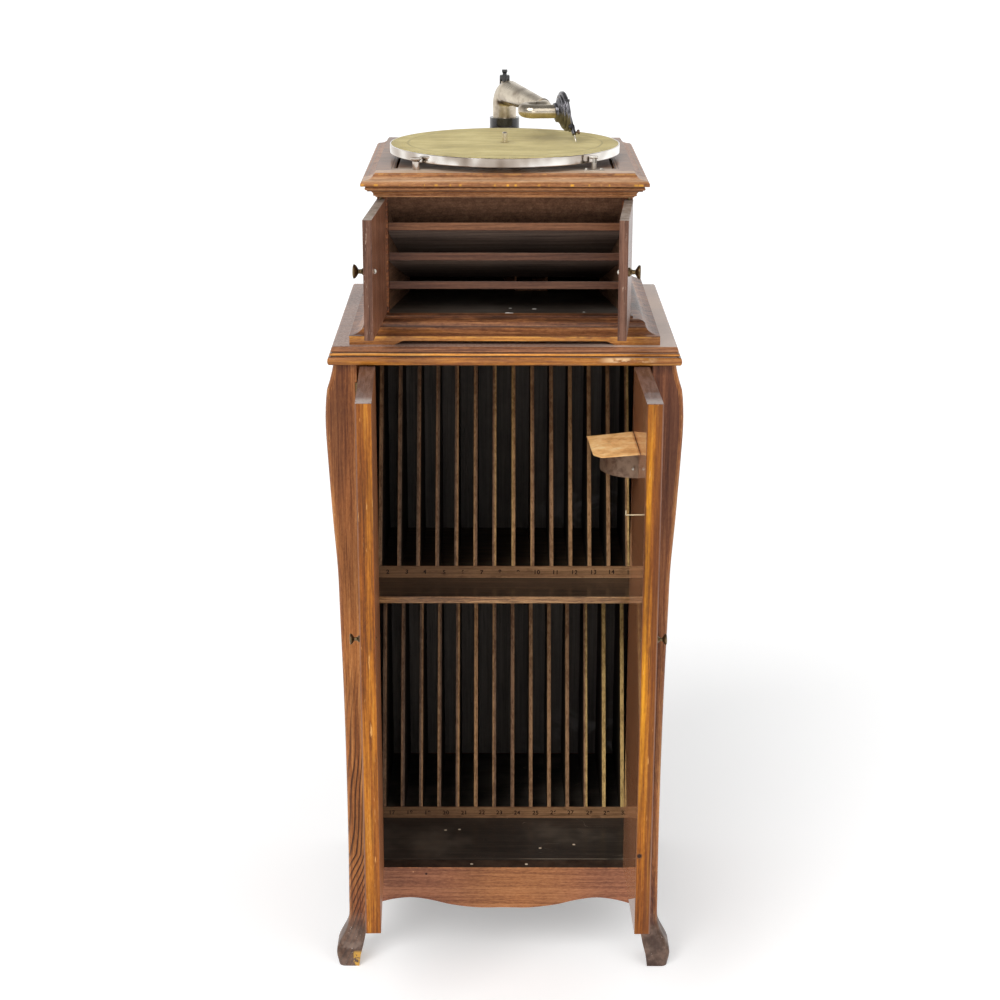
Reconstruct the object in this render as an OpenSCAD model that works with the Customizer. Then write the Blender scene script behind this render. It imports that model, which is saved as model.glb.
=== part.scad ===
// Table gramophone with an inside horn, standing on its record cabinet. Millimetres.
// X runs to the right seen from the front, Y to the back and Z up.
// The origin lies on the floor, under the middle of the object with its doors resting open.

/* [Cabinet] */
// Width of the cabinet top at its widest bead
top_w = 452; // [446:1:470]
// Depth of the cabinet top
top_d = 406; // [402:1:440]
// Thickness of the cabinet top
top_t = 23.5; // [22:0.5:30]
// Height of the cabinet top's upper face above the floor
cabinet_h = 890.5; // [870:0.5:930]
// Width of the opening between the front legs
opening_w = 379; // [370:1:384]
// Distance from the front edge of the top back to the front of the legs
leg_set = 10; // [6:0.5:14]
// Depth of a leg
leg_d = 34; // [28:1:42]
// Rounding of a leg's outer front corner
leg_round = 9; // [4:0.5:11]
// How far a front foot flares forward
foot_flare = 8; // [4:1:20]
// How far a foot's inner edge steps out at the floor
foot_step = 12.5; // [4:0.5:14]
// Inner width between the side panels
inner_w = 400; // [396:1:404]
// Thickness of a side panel
panel_t = 7; // [5:0.5:10]
// Thickness of the back panel
back_t = 6; // [4:0.5:8]
// Height of the upper face of the cabinet floor
floor_z = 150; // [140:1:170]
// Thickness of the cabinet floor
floor_t = 16; // [12:1:20]
// Thickness of the front apron
apron_t = 22; // [18:1:26]
// Thickness of the lower side and back rails
rail_t = 12; // [9:0.5:14]
// Height of the rails' lower edge
rail_z = 96; // [88:1:110]

/* [Record racks] */
// Number of record slots in each tier
slots = 15; // [10:1:18]
// Thickness of a slot divider
divider_t = 5.5; // [4:0.5:7]
// Height of the upper face of the record shelf
shelf_z = 522; // [500:1:560]
// Thickness of the record shelf
shelf_t = 10; // [8:0.5:16]
// Distance from the front edge of the top back to the shelf
shelf_set = 86; // [80:1:110]
// Distance from the front edge of the top back to the number strips
strip_set = 161; // [140:1:180]
// Height of a number strip
strip_h = 17; // [12:1:22]
// Thickness of a number strip
strip_t = 3; // [2:0.5:5]
// Slope of the upper dividers' front edges, run over rise
upper_slope = 0.47; // [0.2:0.01:0.5]
// Slope of the lower dividers' front edges, run over rise
lower_slope = 0.4; // [0.2:0.01:0.5]

/* [Cabinet doors] */
// Thickness of a cabinet door
door_t = 20; // [16:0.5:22]
// Gap between a door's hinge edge and the leg
door_gap = 2; // [1.8:0.1:3]
// Gap between the two closed doors
meeting_gap = 2.6; // [2.4:0.1:5]
// Gap above a door
door_end_gap = 2; // [1:0.5:4]
// Gap under a door
door_low_gap = 5; // [1:0.5:6]
// Opening angle of the left door at rest
left_door_angle = 88; // [60:1:120]
// Opening angle of the right door at rest
right_door_angle = 91.2; // [60:0.1:120]
// Radius of a hinge knuckle
knuckle_r = 3; // [2.5:0.1:3.5]
// Gap between a hinge knuckle and the front of the leg
knuckle_gap = 0.3; // [0.2:0.1:1]
// Radius of a hinge pin
pin_r = 1.5; // [1.2:0.1:1.8]
// Radial clearance of a turning hinge pin or shaft
turn_fit = 0.05; // [0.03:0.01:0.08]
// Radial clearance of a fixed pin or shaft
seat_fit = 0.02; // [0.01:0.01:0.03]
// Height of a hinge
hinge_h = 60; // [45:1:80]
// Thickness of a hinge leaf
leaf_t = 0.9; // [0.6:0.1:0.9]
// Width of a hinge leaf behind the leg's front face
leaf_w = 16; // [10:0.5:18]
// Distance of the hinges' middles from the door's ends
hinge_inset = 52; // [42:1:90]
// Height of the door knobs above the floor
knob_z = 560; // [450:5:650]
// Distance of a knob from the door's free edge
knob_inset = 13; // [9:0.5:25]
// Radius of a cabinet door knob
knob_r = 6.8; // [5:0.2:8.5]
// Length of a cabinet door knob
knob_l = 12.5; // [10:0.5:18]
// Radius of a knob's screw
knob_screw_r = 2; // [1.5:0.1:2.4]

/* [Right door fittings] */
// Radius of the half-round needle tray
tray_r = 45; // [35:1:46]
// Height of the needle tray
tray_h = 34; // [25:1:50]
// Wall of the needle tray
tray_wall = 1.2; // [1:0.1:2]
// Distance from the door's top to the tray's bottom
tray_drop = 121; // [100:1:160]
// Distance of the tray's middle from the hinge
tray_s = 47; // [47:1:110]
// Length of the paper envelope
envelope_l = 106; // [90:1:130]
// Width of the paper envelope
envelope_w = 60; // [50:1:70]
// Thickness of the paper envelope with what is in it
envelope_t = 2; // [1:0.1:4]
// Radius of the hook's wire
wire_r = 0.7; // [0.5:0.1:1.2]
// How far the hook stands out of the door
hook_l = 20; // [12:1:28]

/* [Gramophone case] */
// Width of the case between its outer side faces
case_w = 326; // [322:1:332]
// Distance from the front edge of the top back to the case's front
case_set = 52; // [48:1:56]
// Distance from the front edge of the top back to the case's back
case_back_set = 394; // [392:1:400]
// How far the moulded base stands out of the case
base_over = 35.5; // [32:0.5:42]
// Height of the moulded base
base_h = 31; // [30:0.5:36]
// Height of the cut under the base
base_cut_h = 5; // [3:0.5:7]
// Width of the cut under the front of the base
base_cut_w = 286; // [260:1:310]
// Thickness of the case's side walls
case_wall = 13.4; // [10:0.2:15]
// Thickness of the case's back
case_back_t = 8; // [6:0.5:8]
// Height of the case's side walls
case_wall_h = 152.5; // [150:0.5:165]
// How far the cornice stands out of the case
cornice_over = 19; // [17:0.5:22]
// Height of the cornice
cornice_h = 30.5; // [30:0.5:34]
// Thickness of the motor board
board_t = 12; // [9:0.5:13]
// Width of the motor board
board_w = 276; // [262:1:280]
// Depth of the motor board
board_d = 254; // [246:1:256]
// Distance from the front edge of the top back to the motor board
board_set = 94; // [92:1:98]
// Groove between the motor board and its frame
board_groove = 2.5; // [1.5:0.1:3.5]
// Width of the ledge that carries the motor board
ledge_w = 12; // [8:0.5:14]

/* [Horn] */
// Thickness of the horn's floor
horn_floor_t = 10.5; // [8:0.5:14]
// Thickness of the horn's ceiling board
ceiling_t = 8; // [6:0.5:10]
// Depth of the horn behind the front edge of the top
horn_back_set = 205; // [200:1:215]
// Height of the slot at the horn's back
horn_slot_h = 24.5; // [22:0.5:30]
// How far each side of the horn closes in
horn_close = 20.6; // [15:0.1:30]
// Thickness of the horn's side walls
horn_wall_t = 6; // [4:0.5:8]
// Distance from the front edge of the top back to the slats
slat_set = 70; // [67:1:74]
// Height of a slat's front face
slat_h = 10; // [8:0.5:12]
// Width of the throat neck's mouth
throat_w = 45; // [35:1:60]
// Distance of the throat mouth's middle to the right of the case's middle
throat_x = 36.5; // [20:0.5:50]
// Wall of the throat neck
throat_wall = 3; // [2:0.5:4]

/* [Small doors] */
// Thickness of a small door
flap_t = 11; // [9:0.5:12]
// Height of a small door
flap_h = 147.5; // [140:0.5:149]
// Gap under a small door
flap_gap = 1; // [0.5:0.1:2]
// Half of the gap between the closed small doors
flap_meeting = 0.8; // [0.6:0.1:2]
// Opening angle of the left small door at rest
left_flap_angle = 93; // [60:1:120]
// Opening angle of the right small door at rest
right_flap_angle = 84.5; // [60:0.5:120]
// Gap between a small door and the wall behind it
flap_back_gap = 0.5; // [0.3:0.1:1]
// Length of a pivot pin inside the door
pivot_depth = 7; // [5:0.5:10]
// Length of a pivot pin inside the case
pivot_seat = 8; // [5:0.5:12]
// Distance of a small knob from the door's free edge
flap_knob_inset = 22; // [15:0.5:30]
// Height of a small knob above the bottom of its door
flap_knob_h = 81; // [60:1:100]
// Radius of a small knob
flap_knob_r = 8.8; // [6:0.2:10]
// Length of a small knob
flap_knob_l = 15; // [12:0.5:20]

/* [Turntable] */
// Radius of the turntable
platter_r = 152.4; // [148:0.2:153]
// Distance from the front edge of the top back to the spindle
spindle_set = 194; // [192:0.5:196]
// Height of the turntable's rim
rim_h = 11.5; // [9:0.5:13]
// Gap between the case's top and the turntable's rim
rim_gap = 8; // [6:0.5:12]
// Thickness of the turntable's sheet
platter_t = 1.8; // [1.2:0.1:3]
// Thickness of the felt
felt_t = 1.8; // [1.2:0.1:3]
// How far the rim's lip lies below the felt's top
lip_drop = 0.5; // [0.2:0.1:1]
// Radius of the spindle's top, over which a record goes
spindle_r = 3.6; // [3.4:0.05:3.65]
// Length of the spindle above the felt
spindle_h = 13.5; // [10:0.5:16]
// Radius of the spindle below the turntable
spindle_shaft_r = 4; // [3.8:0.1:4.4]

/* [Motor] */
// Module of the motor's spur wheels
gear_module = 1; // [0.95:0.05:1.05]
// Thickness of a wheel
gear_t = 3; // [2:0.5:4]
// Thickness of a motor plate
plate_t = 3; // [2:0.5:4]
// Distance between the motor's plates
plate_gap = 61; // [60:0.5:66]
// Radius of a motor pillar
pillar_r = 4; // [3:0.5:5]
// Radius of the spring barrel
barrel_r = 34; // [31:0.5:34.5]
// Height of the spring barrel without its wheel
barrel_h = 28; // [24:0.5:29]
// Wall of the spring barrel
barrel_wall = 2; // [1.5:0.1:3]
// Turns of the mainspring
spring_turns = 7; // [4:1:8]
// Thickness of the mainspring's strip
spring_t = 1.2; // [0.6:0.1:1.4]
// Radius of the barrel's arbor
arbor_r = 5; // [4.5:0.1:5.4]
// Radius of the intermediate shaft
mid_shaft_r = 3; // [2.5:0.1:3.2]
// Radius of the governor's shaft
governor_shaft_r = 2.5; // [2:0.1:3]
// Module of the winding wheels
wind_module = 1.6; // [1.5:0.05:1.7]
// Radius of the winding shaft
wind_shaft_r = 4; // [3.5:0.1:4.4]
// Radius of the winding shaft's outer end
wind_end_r = 6; // [5.6:0.1:7]
// Radius of the crank's socket
crank_socket_r = 4.1; // [3.6:0.1:4.4]
// Depth of the crank's socket
crank_socket_l = 20; // [12:1:24]
// Radius of the crank escutcheon
escutcheon_r = 17; // [14:0.5:20]
// Thickness of the crank escutcheon
escutcheon_t = 3; // [2:0.5:5]

/* [Controls] */
// Distance of the controls from the case's middle
control_x = 113; // [110:0.5:116]
// Distance from the front edge of the top back to the controls
control_set = 80; // [76:0.5:80]
// Radius of the speed regulator's collar
regulator_r = 5.3; // [4:0.1:6]
// Height of the speed regulator's collar
regulator_h = 10; // [8:0.5:12]
// Radius of the speed regulator's dished top
regulator_top_r = 7.5; // [6:0.1:8]
// Radius of the speed regulator's screw
regulator_screw_r = 2.5; // [2:0.1:3]
// Height of the brake's post above the case's top
brake_h = 16.5; // [14:0.5:19]
// Reach of the brake's pad from its stud
brake_reach = 10.2; // [8:0.1:10.3]
// Angle that the brake arm turns through to reach the rim
brake_rest_angle = 55; // [30:1:70]

/* [Tonearm] */
// Distance from the front edge of the top back to the tonearm's pivot
arm_set = 373; // [371.5:0.5:374]
// Outer radius of the bracket's collar
collar_r = 21; // [20:0.2:21.4]
// Height of the bracket's collar
collar_h = 31.5; // [28:0.5:35]
// Radius of the tonearm at its base
arm_r = 16.5; // [15:0.1:17]
// Wall of the tonearm's tubes
tube_wall = 1.2; // [0.8:0.1:1.8]
// Height of the tonearm's elbow centre above the collar
elbow_rise = 16.5; // [16.5:0.5:24]
// Centre-line radius of the tonearm's elbow
elbow_r = 19; // [18.5:0.5:23]
// Angle of the tonearm to the right of straight ahead at rest
arm_angle = 22; // [10:0.5:30]
// Length of the tonearm from its pivot to its small elbow
arm_l = 138; // [130:0.5:146]
// Slope of the tonearm's tube, down to its small end
arm_pitch = 3; // [1:0.5:4]
// Radius of the tonearm's small end
arm_end_r = 9.8; // [9.2:0.1:11]
// Centre-line radius of the small elbow
small_elbow_r = 14; // [12:0.5:18]
// Turning angle of the small elbow
small_elbow_angle = 101; // [90:1:110]
// Radius of the gooseneck's tube
neck_r = 9; // [8:0.1:9.6]
// Centre-line radius of the gooseneck's bend
neck_bend_r = 11.5; // [11:0.1:14]
// Length of the gooseneck's short leg
neck_leg = 6; // [4:0.5:10]
// Distance from the swivel to the soundbox
box_reach = 25.5; // [25:0.5:30]
// Height of the bracket's strap over the elbow
strap_w = 14; // [10:0.5:18]
// Radius of the top screw
top_screw_r = 3; // [2:0.1:3.5]

/* [Soundbox] */
// Radius of the soundbox
box_r = 26; // [24:0.5:27]
// Thickness of the soundbox's casing
box_t = 8; // [6:0.5:10]
// Lean of the soundbox
box_lean = 8; // [0:1:10]
// Angle of the needle off the vertical
needle_angle = 42; // [30:1:50]
// Radius of the needle
needle_r = 0.75; // [0.6:0.05:1]
// Radius of the needle's chuck
chuck_r = 3; // [2.5:0.1:3.5]
// Length of the needle's chuck
chuck_l = 9; // [7:0.5:10]
// Height of the needle's tip over the felt
needle_gap = 2.2; // [2.1:0.1:3]

/* [Hidden] */
$fn = 64;

// Heights and widths that follow from the sizes above
leg_h = cabinet_h - top_t;
half_open = opening_w / 2;
half_inner = inner_w / 2;
door_z = floor_z + door_low_gap;
door_h = leg_h - door_end_gap - door_z;
tray_z = door_z + door_h - tray_drop;
pivot_x = half_open - door_gap / 2;
pivot_set = leg_set - knuckle_gap - knuckle_r;
door_face = leg_set - pivot_set;
door_l = pivot_x - meeting_gap / 2;

// Reach of an open door in front of the top's front edge
function corner_reach(angle, depth) = door_l * sin(angle) - depth * cos(angle) - pivot_set;
function door_reach(angle) = max(corner_reach(angle, door_face), corner_reach(angle, door_face + door_t));
front_reach = max(door_reach(left_door_angle), door_reach(right_door_angle));

// The top's front edge; every set distance above is counted back from it
front_y = (front_reach - top_d) / 2;
leg_y = front_y + leg_set;
rear_y = front_y + top_d - leg_set;
back_y = rear_y - rail_t;
shelf_y = front_y + shelf_set;
strip_y = front_y + strip_set;
pivot_y = front_y + pivot_set;

case_z = cabinet_h + base_h;
deck_z = case_z + case_wall_h + cornice_h;
case_y = front_y + case_set;
case_back_y = front_y + case_back_set;
half_case = case_w / 2;
half_case_inner = half_case - case_wall;
horn_half = half_case_inner - horn_close;
base_w = case_w + 2 * base_over;
wall_y = case_y + flap_t + flap_back_gap;
board_y = front_y + board_set;
board_z = deck_z - 1.5;
spindle_y = front_y + spindle_set;
arm_y = front_y + arm_set;
control_y = front_y + control_set;

rim_z = deck_z + rim_gap;
felt_top = rim_z + rim_h + lip_drop;
sheet_z = felt_top - felt_t - platter_t;

// Smooth curve through [position, value] knots, read at a position
function knot_at(k, z, i = 0) = (i >= len(k) - 2 || z <= k[i + 1][0]) ? i : knot_at(k, z, i + 1);
function knot_slope(k, i) = let (a = max(0, i - 1), b = min(len(k) - 1, i + 1))
    (k[b][1] - k[a][1]) / (k[b][0] - k[a][0]);
function curve(k, z) = let (
        i = knot_at(k, z),
        h = k[i + 1][0] - k[i][0],
        t = (z - k[i][0]) / h
    )
    k[i][1] * (2 * t^3 - 3 * t^2 + 1) + knot_slope(k, i) * h * (t^3 - 2 * t^2 + t)
    + k[i + 1][1] * (3 * t^2 - 2 * t^3) + knot_slope(k, i + 1) * h * (t^3 - t^2);

// Points of an elliptic arc
function arc(cx, cy, rx, ry, from, to, steps = 6) =
    [for (i = [0:steps]) let (a = from + (to - from) * i / steps) [cx + rx * cos(a), cy + ry * sin(a)]];

// Width of a leg's face over its height: foot counted from the floor, bulge from the top
leg_face = [
    [0, 41], [23, 44], [58, 28.5], [100, 26], [253, 25.4],
    [leg_h - 465, 26.7], [leg_h - 347, 29.3], [leg_h - 282, 30.8], [leg_h - 216, 35.3],
    [leg_h - 155, 38.8], [leg_h - 123, 40.5], [leg_h - 96, 41.8], [leg_h - 69, 42],
    [leg_h - 36, 39.3], [leg_h - 21, 34.5], [leg_h - 4, 30.6], [leg_h, 30]
];
// Share of the foot's inner step and of its forward flare left at each height
foot_in = [[0, 1], [14, 0.88], [36, 0.44], [62, 0.09], [84, 0], [leg_h, 0]];
foot_out = [[0, 1], [18, 1], [35, 0.54], [60, 0.12], [90, 0], [leg_h, 0]];
leg_heights = [
    for (part = [[0:6:102], [130:40:leg_h - 320], [leg_h - 300:12:leg_h - 12]]) for (z = part) z, leg_h
];
LEG_CORNER = 5;

function leg_ring(z, flare) = let (
        inner = half_open + foot_step * max(0, curve(foot_in, z)),
        outer = half_open + curve(leg_face, z),
        front = leg_y - flare * max(0, curve(foot_out, z)),
        back = leg_y + leg_d,
        r = leg_round
    )
    concat(
        [[inner, front, z]],
        [for (p = arc(outer - r, front + r, r, r, -90, 0, LEG_CORNER)) [p[0], p[1], z]],
        [[outer, back, z], [inner, back, z]]
    );

// One leg on the right, its foot flaring forward by flare
module leg_solid(flare) {
    rings = [for (z = leg_heights) leg_ring(z, flare)];
    n = len(rings[0]);
    last = len(rings) - 1;
    sides = [for (i = [0:last - 1]) for (j = [0:n - 1]) let (k = (j + 1) % n)
        [i * n + j, (i + 1) * n + j, (i + 1) * n + k, i * n + k]];
    polyhedron(
        points = [for (ring = rings) for (p = ring) p],
        faces = concat([[for (j = [0:n - 1]) j]], sides, [[for (j = [n - 1:-1:0]) last * n + j]])
    );
}

// A block whose front and side edges carry a moulding. The outline lists [outset, height] upwards,
// counted from the widest point. The front stands at y_front and the plain back at y_back.
module moulded(w, y_front, y_back, outline) {
    depth = y_back - y_front;
    intersection() {
        rotate([90, 0, 0])
            linear_extrude(4 * w, center = true)
                polygon(concat([for (p = outline) [w / 2 + p[0], p[1]]],
                    [for (i = [len(outline) - 1:-1:0]) [-w / 2 - outline[i][0], outline[i][1]]]));
        rotate([90, 0, 90])
            linear_extrude(2 * w, center = true)
                polygon(concat([for (p = outline) [y_front - p[0], p[1]]],
                    [[y_front + depth, outline[len(outline) - 1][1]], [y_front + depth, outline[0][1]]]));
    }
}

// Reeded edge of the cabinet top: a wide bead, a narrow bead and a rounded edge
REED_BEADS = [10.5, 3.5];
reed_gap = 1.2;
top_edge = concat(
    arc(-2.5, REED_BEADS[0] / 2, 2.5, REED_BEADS[0] / 2, -90, 90),
    [[-4.4, REED_BEADS[0]], [-4.4, REED_BEADS[0] + reed_gap]],
    arc(-4.6, REED_BEADS[0] + reed_gap + REED_BEADS[1] / 2, 1.8, REED_BEADS[1] / 2, -80, 80, 4),
    [[-5.6, REED_BEADS[0] + reed_gap + REED_BEADS[1]], [-5.6, REED_BEADS[0] + 2 * reed_gap + REED_BEADS[1]]],
    arc(-8, top_t - 5, 3.4, 5, -20, 90)
);

module cabinet_top() {
    color("#7a4a2c")
        translate([0, 0, leg_h])
            moulded(top_w, front_y, front_y + top_d, top_edge);
}

module cabinet_sides() {
    color("#6f4026")
        for (side = [-1, 1])
            translate([side * (half_inner + panel_t / 2) - panel_t / 2, leg_y + leg_d, floor_z])
                cube([panel_t, rear_y - leg_y - 2 * leg_d, leg_h - floor_z]);
}

module cabinet_back() {
    color("#3a2a20")
        translate([-half_open, back_y, floor_z])
            cube([opening_w, back_t, leg_h - floor_z]);
}

// Board outline between the side panels, narrowed where it passes the legs
module between_legs(y_from, y_to, z, t) {
    translate([0, 0, z])
        linear_extrude(t) {
            intersection() {
                translate([-half_inner, y_from])
                    square([inner_w, y_to - y_from]);
                union() {
                    translate([-half_inner, leg_y + leg_d])
                        square([inner_w, rear_y - leg_y - 2 * leg_d]);
                    translate([-half_open, front_y])
                        square([opening_w, top_d]);
                }
            }
        }
}

module cabinet_floor() {
    color("#4a3527")
        between_legs(leg_y + apron_t, back_y, floor_z - floor_t, floor_t);
}

module record_shelf() {
    color("#6b4a30")
        between_legs(shelf_y, back_y, shelf_z - shelf_t, shelf_t);
}

module front_left_leg() {
    color("#8a5430")
        mirror([1, 0, 0])
            leg_solid(foot_flare);
}

module front_right_leg() {
    color("#8a5430")
        leg_solid(foot_flare);
}

module rear_legs() {
    color("#7c4a2b")
        for (side = [0, 1])
            mirror([side, 0, 0])
                translate([0, leg_y + rear_y, 0])
                    mirror([0, 1, 0])
                        leg_solid(0);
}

// Lower edge of the apron: height below the floor board at each distance from the middle
apron_drop = [[0, 62], [38, 62], [75, 57], [100, 50.5], [127, 46.5], [150, 48.5], [170, 53.5], [half_open, 61]];

module front_apron() {
    edge = [for (i = [0:32]) let (x = half_open * i / 32) [x, floor_z - curve(apron_drop, x)]];
    color("#8c4d2e")
        translate([0, leg_y + apron_t, 0])
            rotate([90, 0, 0])
                linear_extrude(apron_t)
                    polygon(concat(
                        [[half_open, floor_z], [-half_open, floor_z]],
                        [for (i = [32:-1:1]) [-edge[i][0], edge[i][1]]],
                        edge
                    ));
}

module lower_rails() {
    side_l = rear_y - leg_y - 2 * leg_d;
    color("#70432a") {
        for (side = [-1, 1])
            translate([side * (half_inner + rail_t / 2) - rail_t / 2, leg_y + leg_d, rail_z])
                cube([rail_t, side_l, floor_z - rail_z]);
        translate([-half_open, back_y, rail_z])
            cube([opening_w, rail_t, floor_z - rail_z]);
    }
}

// Dividers of one tier: upright at the strip, then slanting back
module divider_row(z_low, z_high, y_low, slope) {
    pitch = inner_w / slots;
    lean = slope * (z_high - z_low - strip_h);
    for (i = [1:slots - 1])
        translate([-half_inner + i * pitch + divider_t / 2, 0, 0])
            rotate([90, 0, -90])
                linear_extrude(divider_t)
                    polygon([
                        [-y_low, z_low], [-back_y, z_low], [-back_y, z_high],
                        [-y_low - lean, z_high], [-y_low, z_low + strip_h]
                    ]);
}

module upper_dividers() {
    color("#8f6a48")
        divider_row(shelf_z, leg_h, strip_y + strip_t, upper_slope);
}

module lower_dividers() {
    color("#8f6a48")
        divider_row(floor_z, shelf_z - shelf_t, strip_y + strip_t, lower_slope);
}

module number_strips() {
    color("#b0855c")
        for (z = [shelf_z, floor_z])
            translate([-half_inner, strip_y, z])
                cube([inner_w, strip_t, strip_h]);
}

// Frame of the left door: origin on the hinge axis, X along the door, Y behind its face
module at_door(angle) {
    translate([-pivot_x, pivot_y, 0])
        rotate([0, 0, -angle])
            children();
}

module door_board() {
    edge = door_gap / 2;
    difference() {
        translate([edge, door_face, door_z])
            cube([door_l - edge, door_t, door_h]);
        translate([door_l - knob_inset, door_face - 1, knob_z])
            rotate([-90, 0, 0])
                cylinder(r = knob_screw_r + seat_fit, h = door_t + 2);
    }
}

// A turned knob: rosette, stem and cupped face, with its screw through a board
module knob(r, l, board) {
    rotate([90, 0, 0])
        rotate_extrude()
            polygon(concat(
                [[0, 0], [r * 0.62, 0], [r * 0.62, l * 0.12], [r * 0.34, l * 0.3], [r * 0.3, l * 0.55]],
                arc(r * 0.35, l * 0.95, r * 0.65, l * 0.3, -60, 0, 4),
                [[r * 0.8, l], [r * 0.35, l * 0.93], [0, l * 0.91]]
            ));
    rotate([-90, 0, 0])
        cylinder(r = knob_screw_r, h = board + 0.8);
}

module door_knob() {
    translate([door_l - knob_inset, door_face, knob_z])
        knob(knob_r, knob_l, door_t);
}

module left_door() {
    color("#8a4f2c") at_door(left_door_angle) door_board();
}

module right_door() {
    color("#8a4f2c") mirror([1, 0, 0]) at_door(right_door_angle) door_board();
}

module left_door_knob() {
    color("#4a3a28") at_door(left_door_angle) door_knob();
}

module right_door_knob() {
    color("#4a3a28") mirror([1, 0, 0]) at_door(right_door_angle) door_knob();
}

hinge_heights = [door_z + hinge_inset, door_z + door_h - hinge_inset];
KNUCKLE_GAP = 0.3;
door_knuckle_h = hinge_h / 3;

// Fixed halves of the hinges with their pins, on the left leg
module fixed_hinges() {
    plate_x = pivot_x - half_open;
    for (z = hinge_heights) {
        for (end = [-1, 1])
            translate([0, 0, z + end * hinge_h / 3 - door_knuckle_h / 2])
                difference() {
                    cylinder(r = knuckle_r, h = door_knuckle_h);
                    translate([0, 0, -1])
                        cylinder(r = pin_r + seat_fit, h = door_knuckle_h + 2);
                }
        difference() {
            translate([plate_x, 0, z - hinge_h / 2])
                cube([leaf_t, door_face + leaf_w, hinge_h]);
            translate([0, 0, z - hinge_h / 2 - 1])
                cylinder(r = pin_r + seat_fit, h = hinge_h + 2);
            translate([0, 0, z - door_knuckle_h / 2 - KNUCKLE_GAP])
                cylinder(r = knuckle_r + KNUCKLE_GAP, h = door_knuckle_h + 2 * KNUCKLE_GAP);
        }
        translate([0, 0, z - hinge_h / 2])
            cylinder(r = pin_r, h = hinge_h);
    }
}

// Moving halves, fixed to the door's edge, in the door's own frame
module door_leaves() {
    for (z = hinge_heights) {
        difference() {
            translate([0, 0, z - door_knuckle_h / 2])
                cylinder(r = knuckle_r, h = door_knuckle_h);
            translate([0, 0, z - door_knuckle_h])
                cylinder(r = pin_r + turn_fit, h = 2 * door_knuckle_h);
        }
        difference() {
            translate([door_gap / 2 - leaf_t, 0, z - hinge_h / 2])
                cube([leaf_t, door_face + leaf_w, hinge_h]);
            translate([0, 0, z - door_knuckle_h])
                cylinder(r = pin_r + turn_fit, h = 2 * door_knuckle_h);
            for (end = [-1, 1])
                translate([0, 0, z + end * hinge_h / 3 - door_knuckle_h / 2 - KNUCKLE_GAP])
                    cylinder(r = knuckle_r + KNUCKLE_GAP, h = door_knuckle_h + 2 * KNUCKLE_GAP);
        }
    }
}

module cabinet_hinges() {
    color("#8a7440")
        for (side = [0, 1])
            mirror([side, 0, 0])
                translate([-pivot_x, pivot_y, 0])
                    fixed_hinges();
}

module left_door_leaves() {
    color("#8a7440") at_door(left_door_angle) door_leaves();
}

module right_door_leaves() {
    color("#8a7440") mirror([1, 0, 0]) at_door(right_door_angle) door_leaves();
}

// Frame of the right door's inner face: X from the hinge to the free edge, Y away from the face
module on_right_door() {
    mirror([1, 0, 0])
        at_door(right_door_angle)
            translate([0, door_face + door_t, 0])
                children();
}

// Part of a disc on the far side of a line parallel to X
module cut_disc(r, line) {
    intersection() {
        circle(r = r);
        translate([-r, line])
            square(2 * r);
    }
}

module needle_tray() {
    color("#4e4138")
        on_right_door()
            translate([tray_s, 0, tray_z])
                difference() {
                    linear_extrude(tray_h)
                        cut_disc(tray_r, 0);
                    translate([0, 0, tray_wall])
                        linear_extrude(tray_h)
                            cut_disc(tray_r - tray_wall, tray_wall);
                }
}

module paper_envelope() {
    color("#b58a5c")
        on_right_door()
            translate([tray_s - tray_r + 10, KNUCKLE_GAP, tray_z + tray_h])
                cube([envelope_l, envelope_w, envelope_t]);
}

HOOK_DROP = 27;
HOOK_UP = 6;

module wire_hook() {
    color("#cdc6a8")
        on_right_door()
            translate([door_l - 30, 0, tray_z - HOOK_DROP]) {
                rotate([-90, 0, 0])
                    cylinder(r = wire_r, h = hook_l, $fn = 16);
                translate([0, hook_l, 0])
                    sphere(r = wire_r, $fn = 16);
                translate([0, hook_l, 0])
                    cylinder(r = wire_r, h = HOOK_UP, $fn = 16);
            }
}

// Moulding of the case's base: upright foot, hollow, quarter round and a flat for the walls
base_edge = concat(
    [[0, 0], [0, 11.5]],
    arc(0, 22.5, base_over - 17.5, 11, -90, -180),
    arc(6 - base_over, 24, 11.5, base_h - 26.4, 0, 90),
    [[2.5 - base_over, base_h - 2.4], [2.5 - base_over, base_h]]
);

// A shallow cut with ogee ends, drawn across X and hanging from z = 0
module base_cut(w, length) {
    flat = w / 2 - 15;
    ogee = [for (i = [0:8]) [flat + 15 * i / 8, base_cut_h * (1 + cos(180 * i / 8)) / 2]];
    rotate([90, 0, 0])
        linear_extrude(length, center = true)
            polygon(concat(
                [[w / 2, -1]],
                [for (i = [8:-1:0]) ogee[i]],
                [for (p = ogee) [-p[0], p[1]]],
                [[-w / 2, -1]]
            ));
}

module case_base() {
    base_y = case_y - base_over;
    mid_y = (base_y + case_back_y) / 2;
    side_cut_w = case_back_y - base_y - (base_w - base_cut_w);
    color("#7d4b2b")
        translate([0, 0, cabinet_h])
            difference() {
                moulded(base_w, base_y, case_back_y, base_edge);
                translate([-half_case_inner, wall_y, -1])
                    cube([2 * half_case_inner, case_back_y - case_back_t - wall_y, base_h + 2]);
                base_cut(base_cut_w, 4 * base_w);
                translate([0, mid_y, 0])
                    rotate([0, 0, 90])
                        base_cut(side_cut_w, 4 * base_w);
                for (side = [-1, 1])
                    translate([side * flap_pivot_x, flap_pivot_y, base_h - pivot_seat])
                        cylinder(r = pin_r + seat_fit, h = pivot_seat + 1);
            }
}

module horn_floor() {
    color("#3b2c24")
        translate([-half_case_inner, wall_y, case_z - horn_floor_t])
            cube([2 * half_case_inner, case_back_y - case_back_t - wall_y, horn_floor_t]);
}

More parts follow.
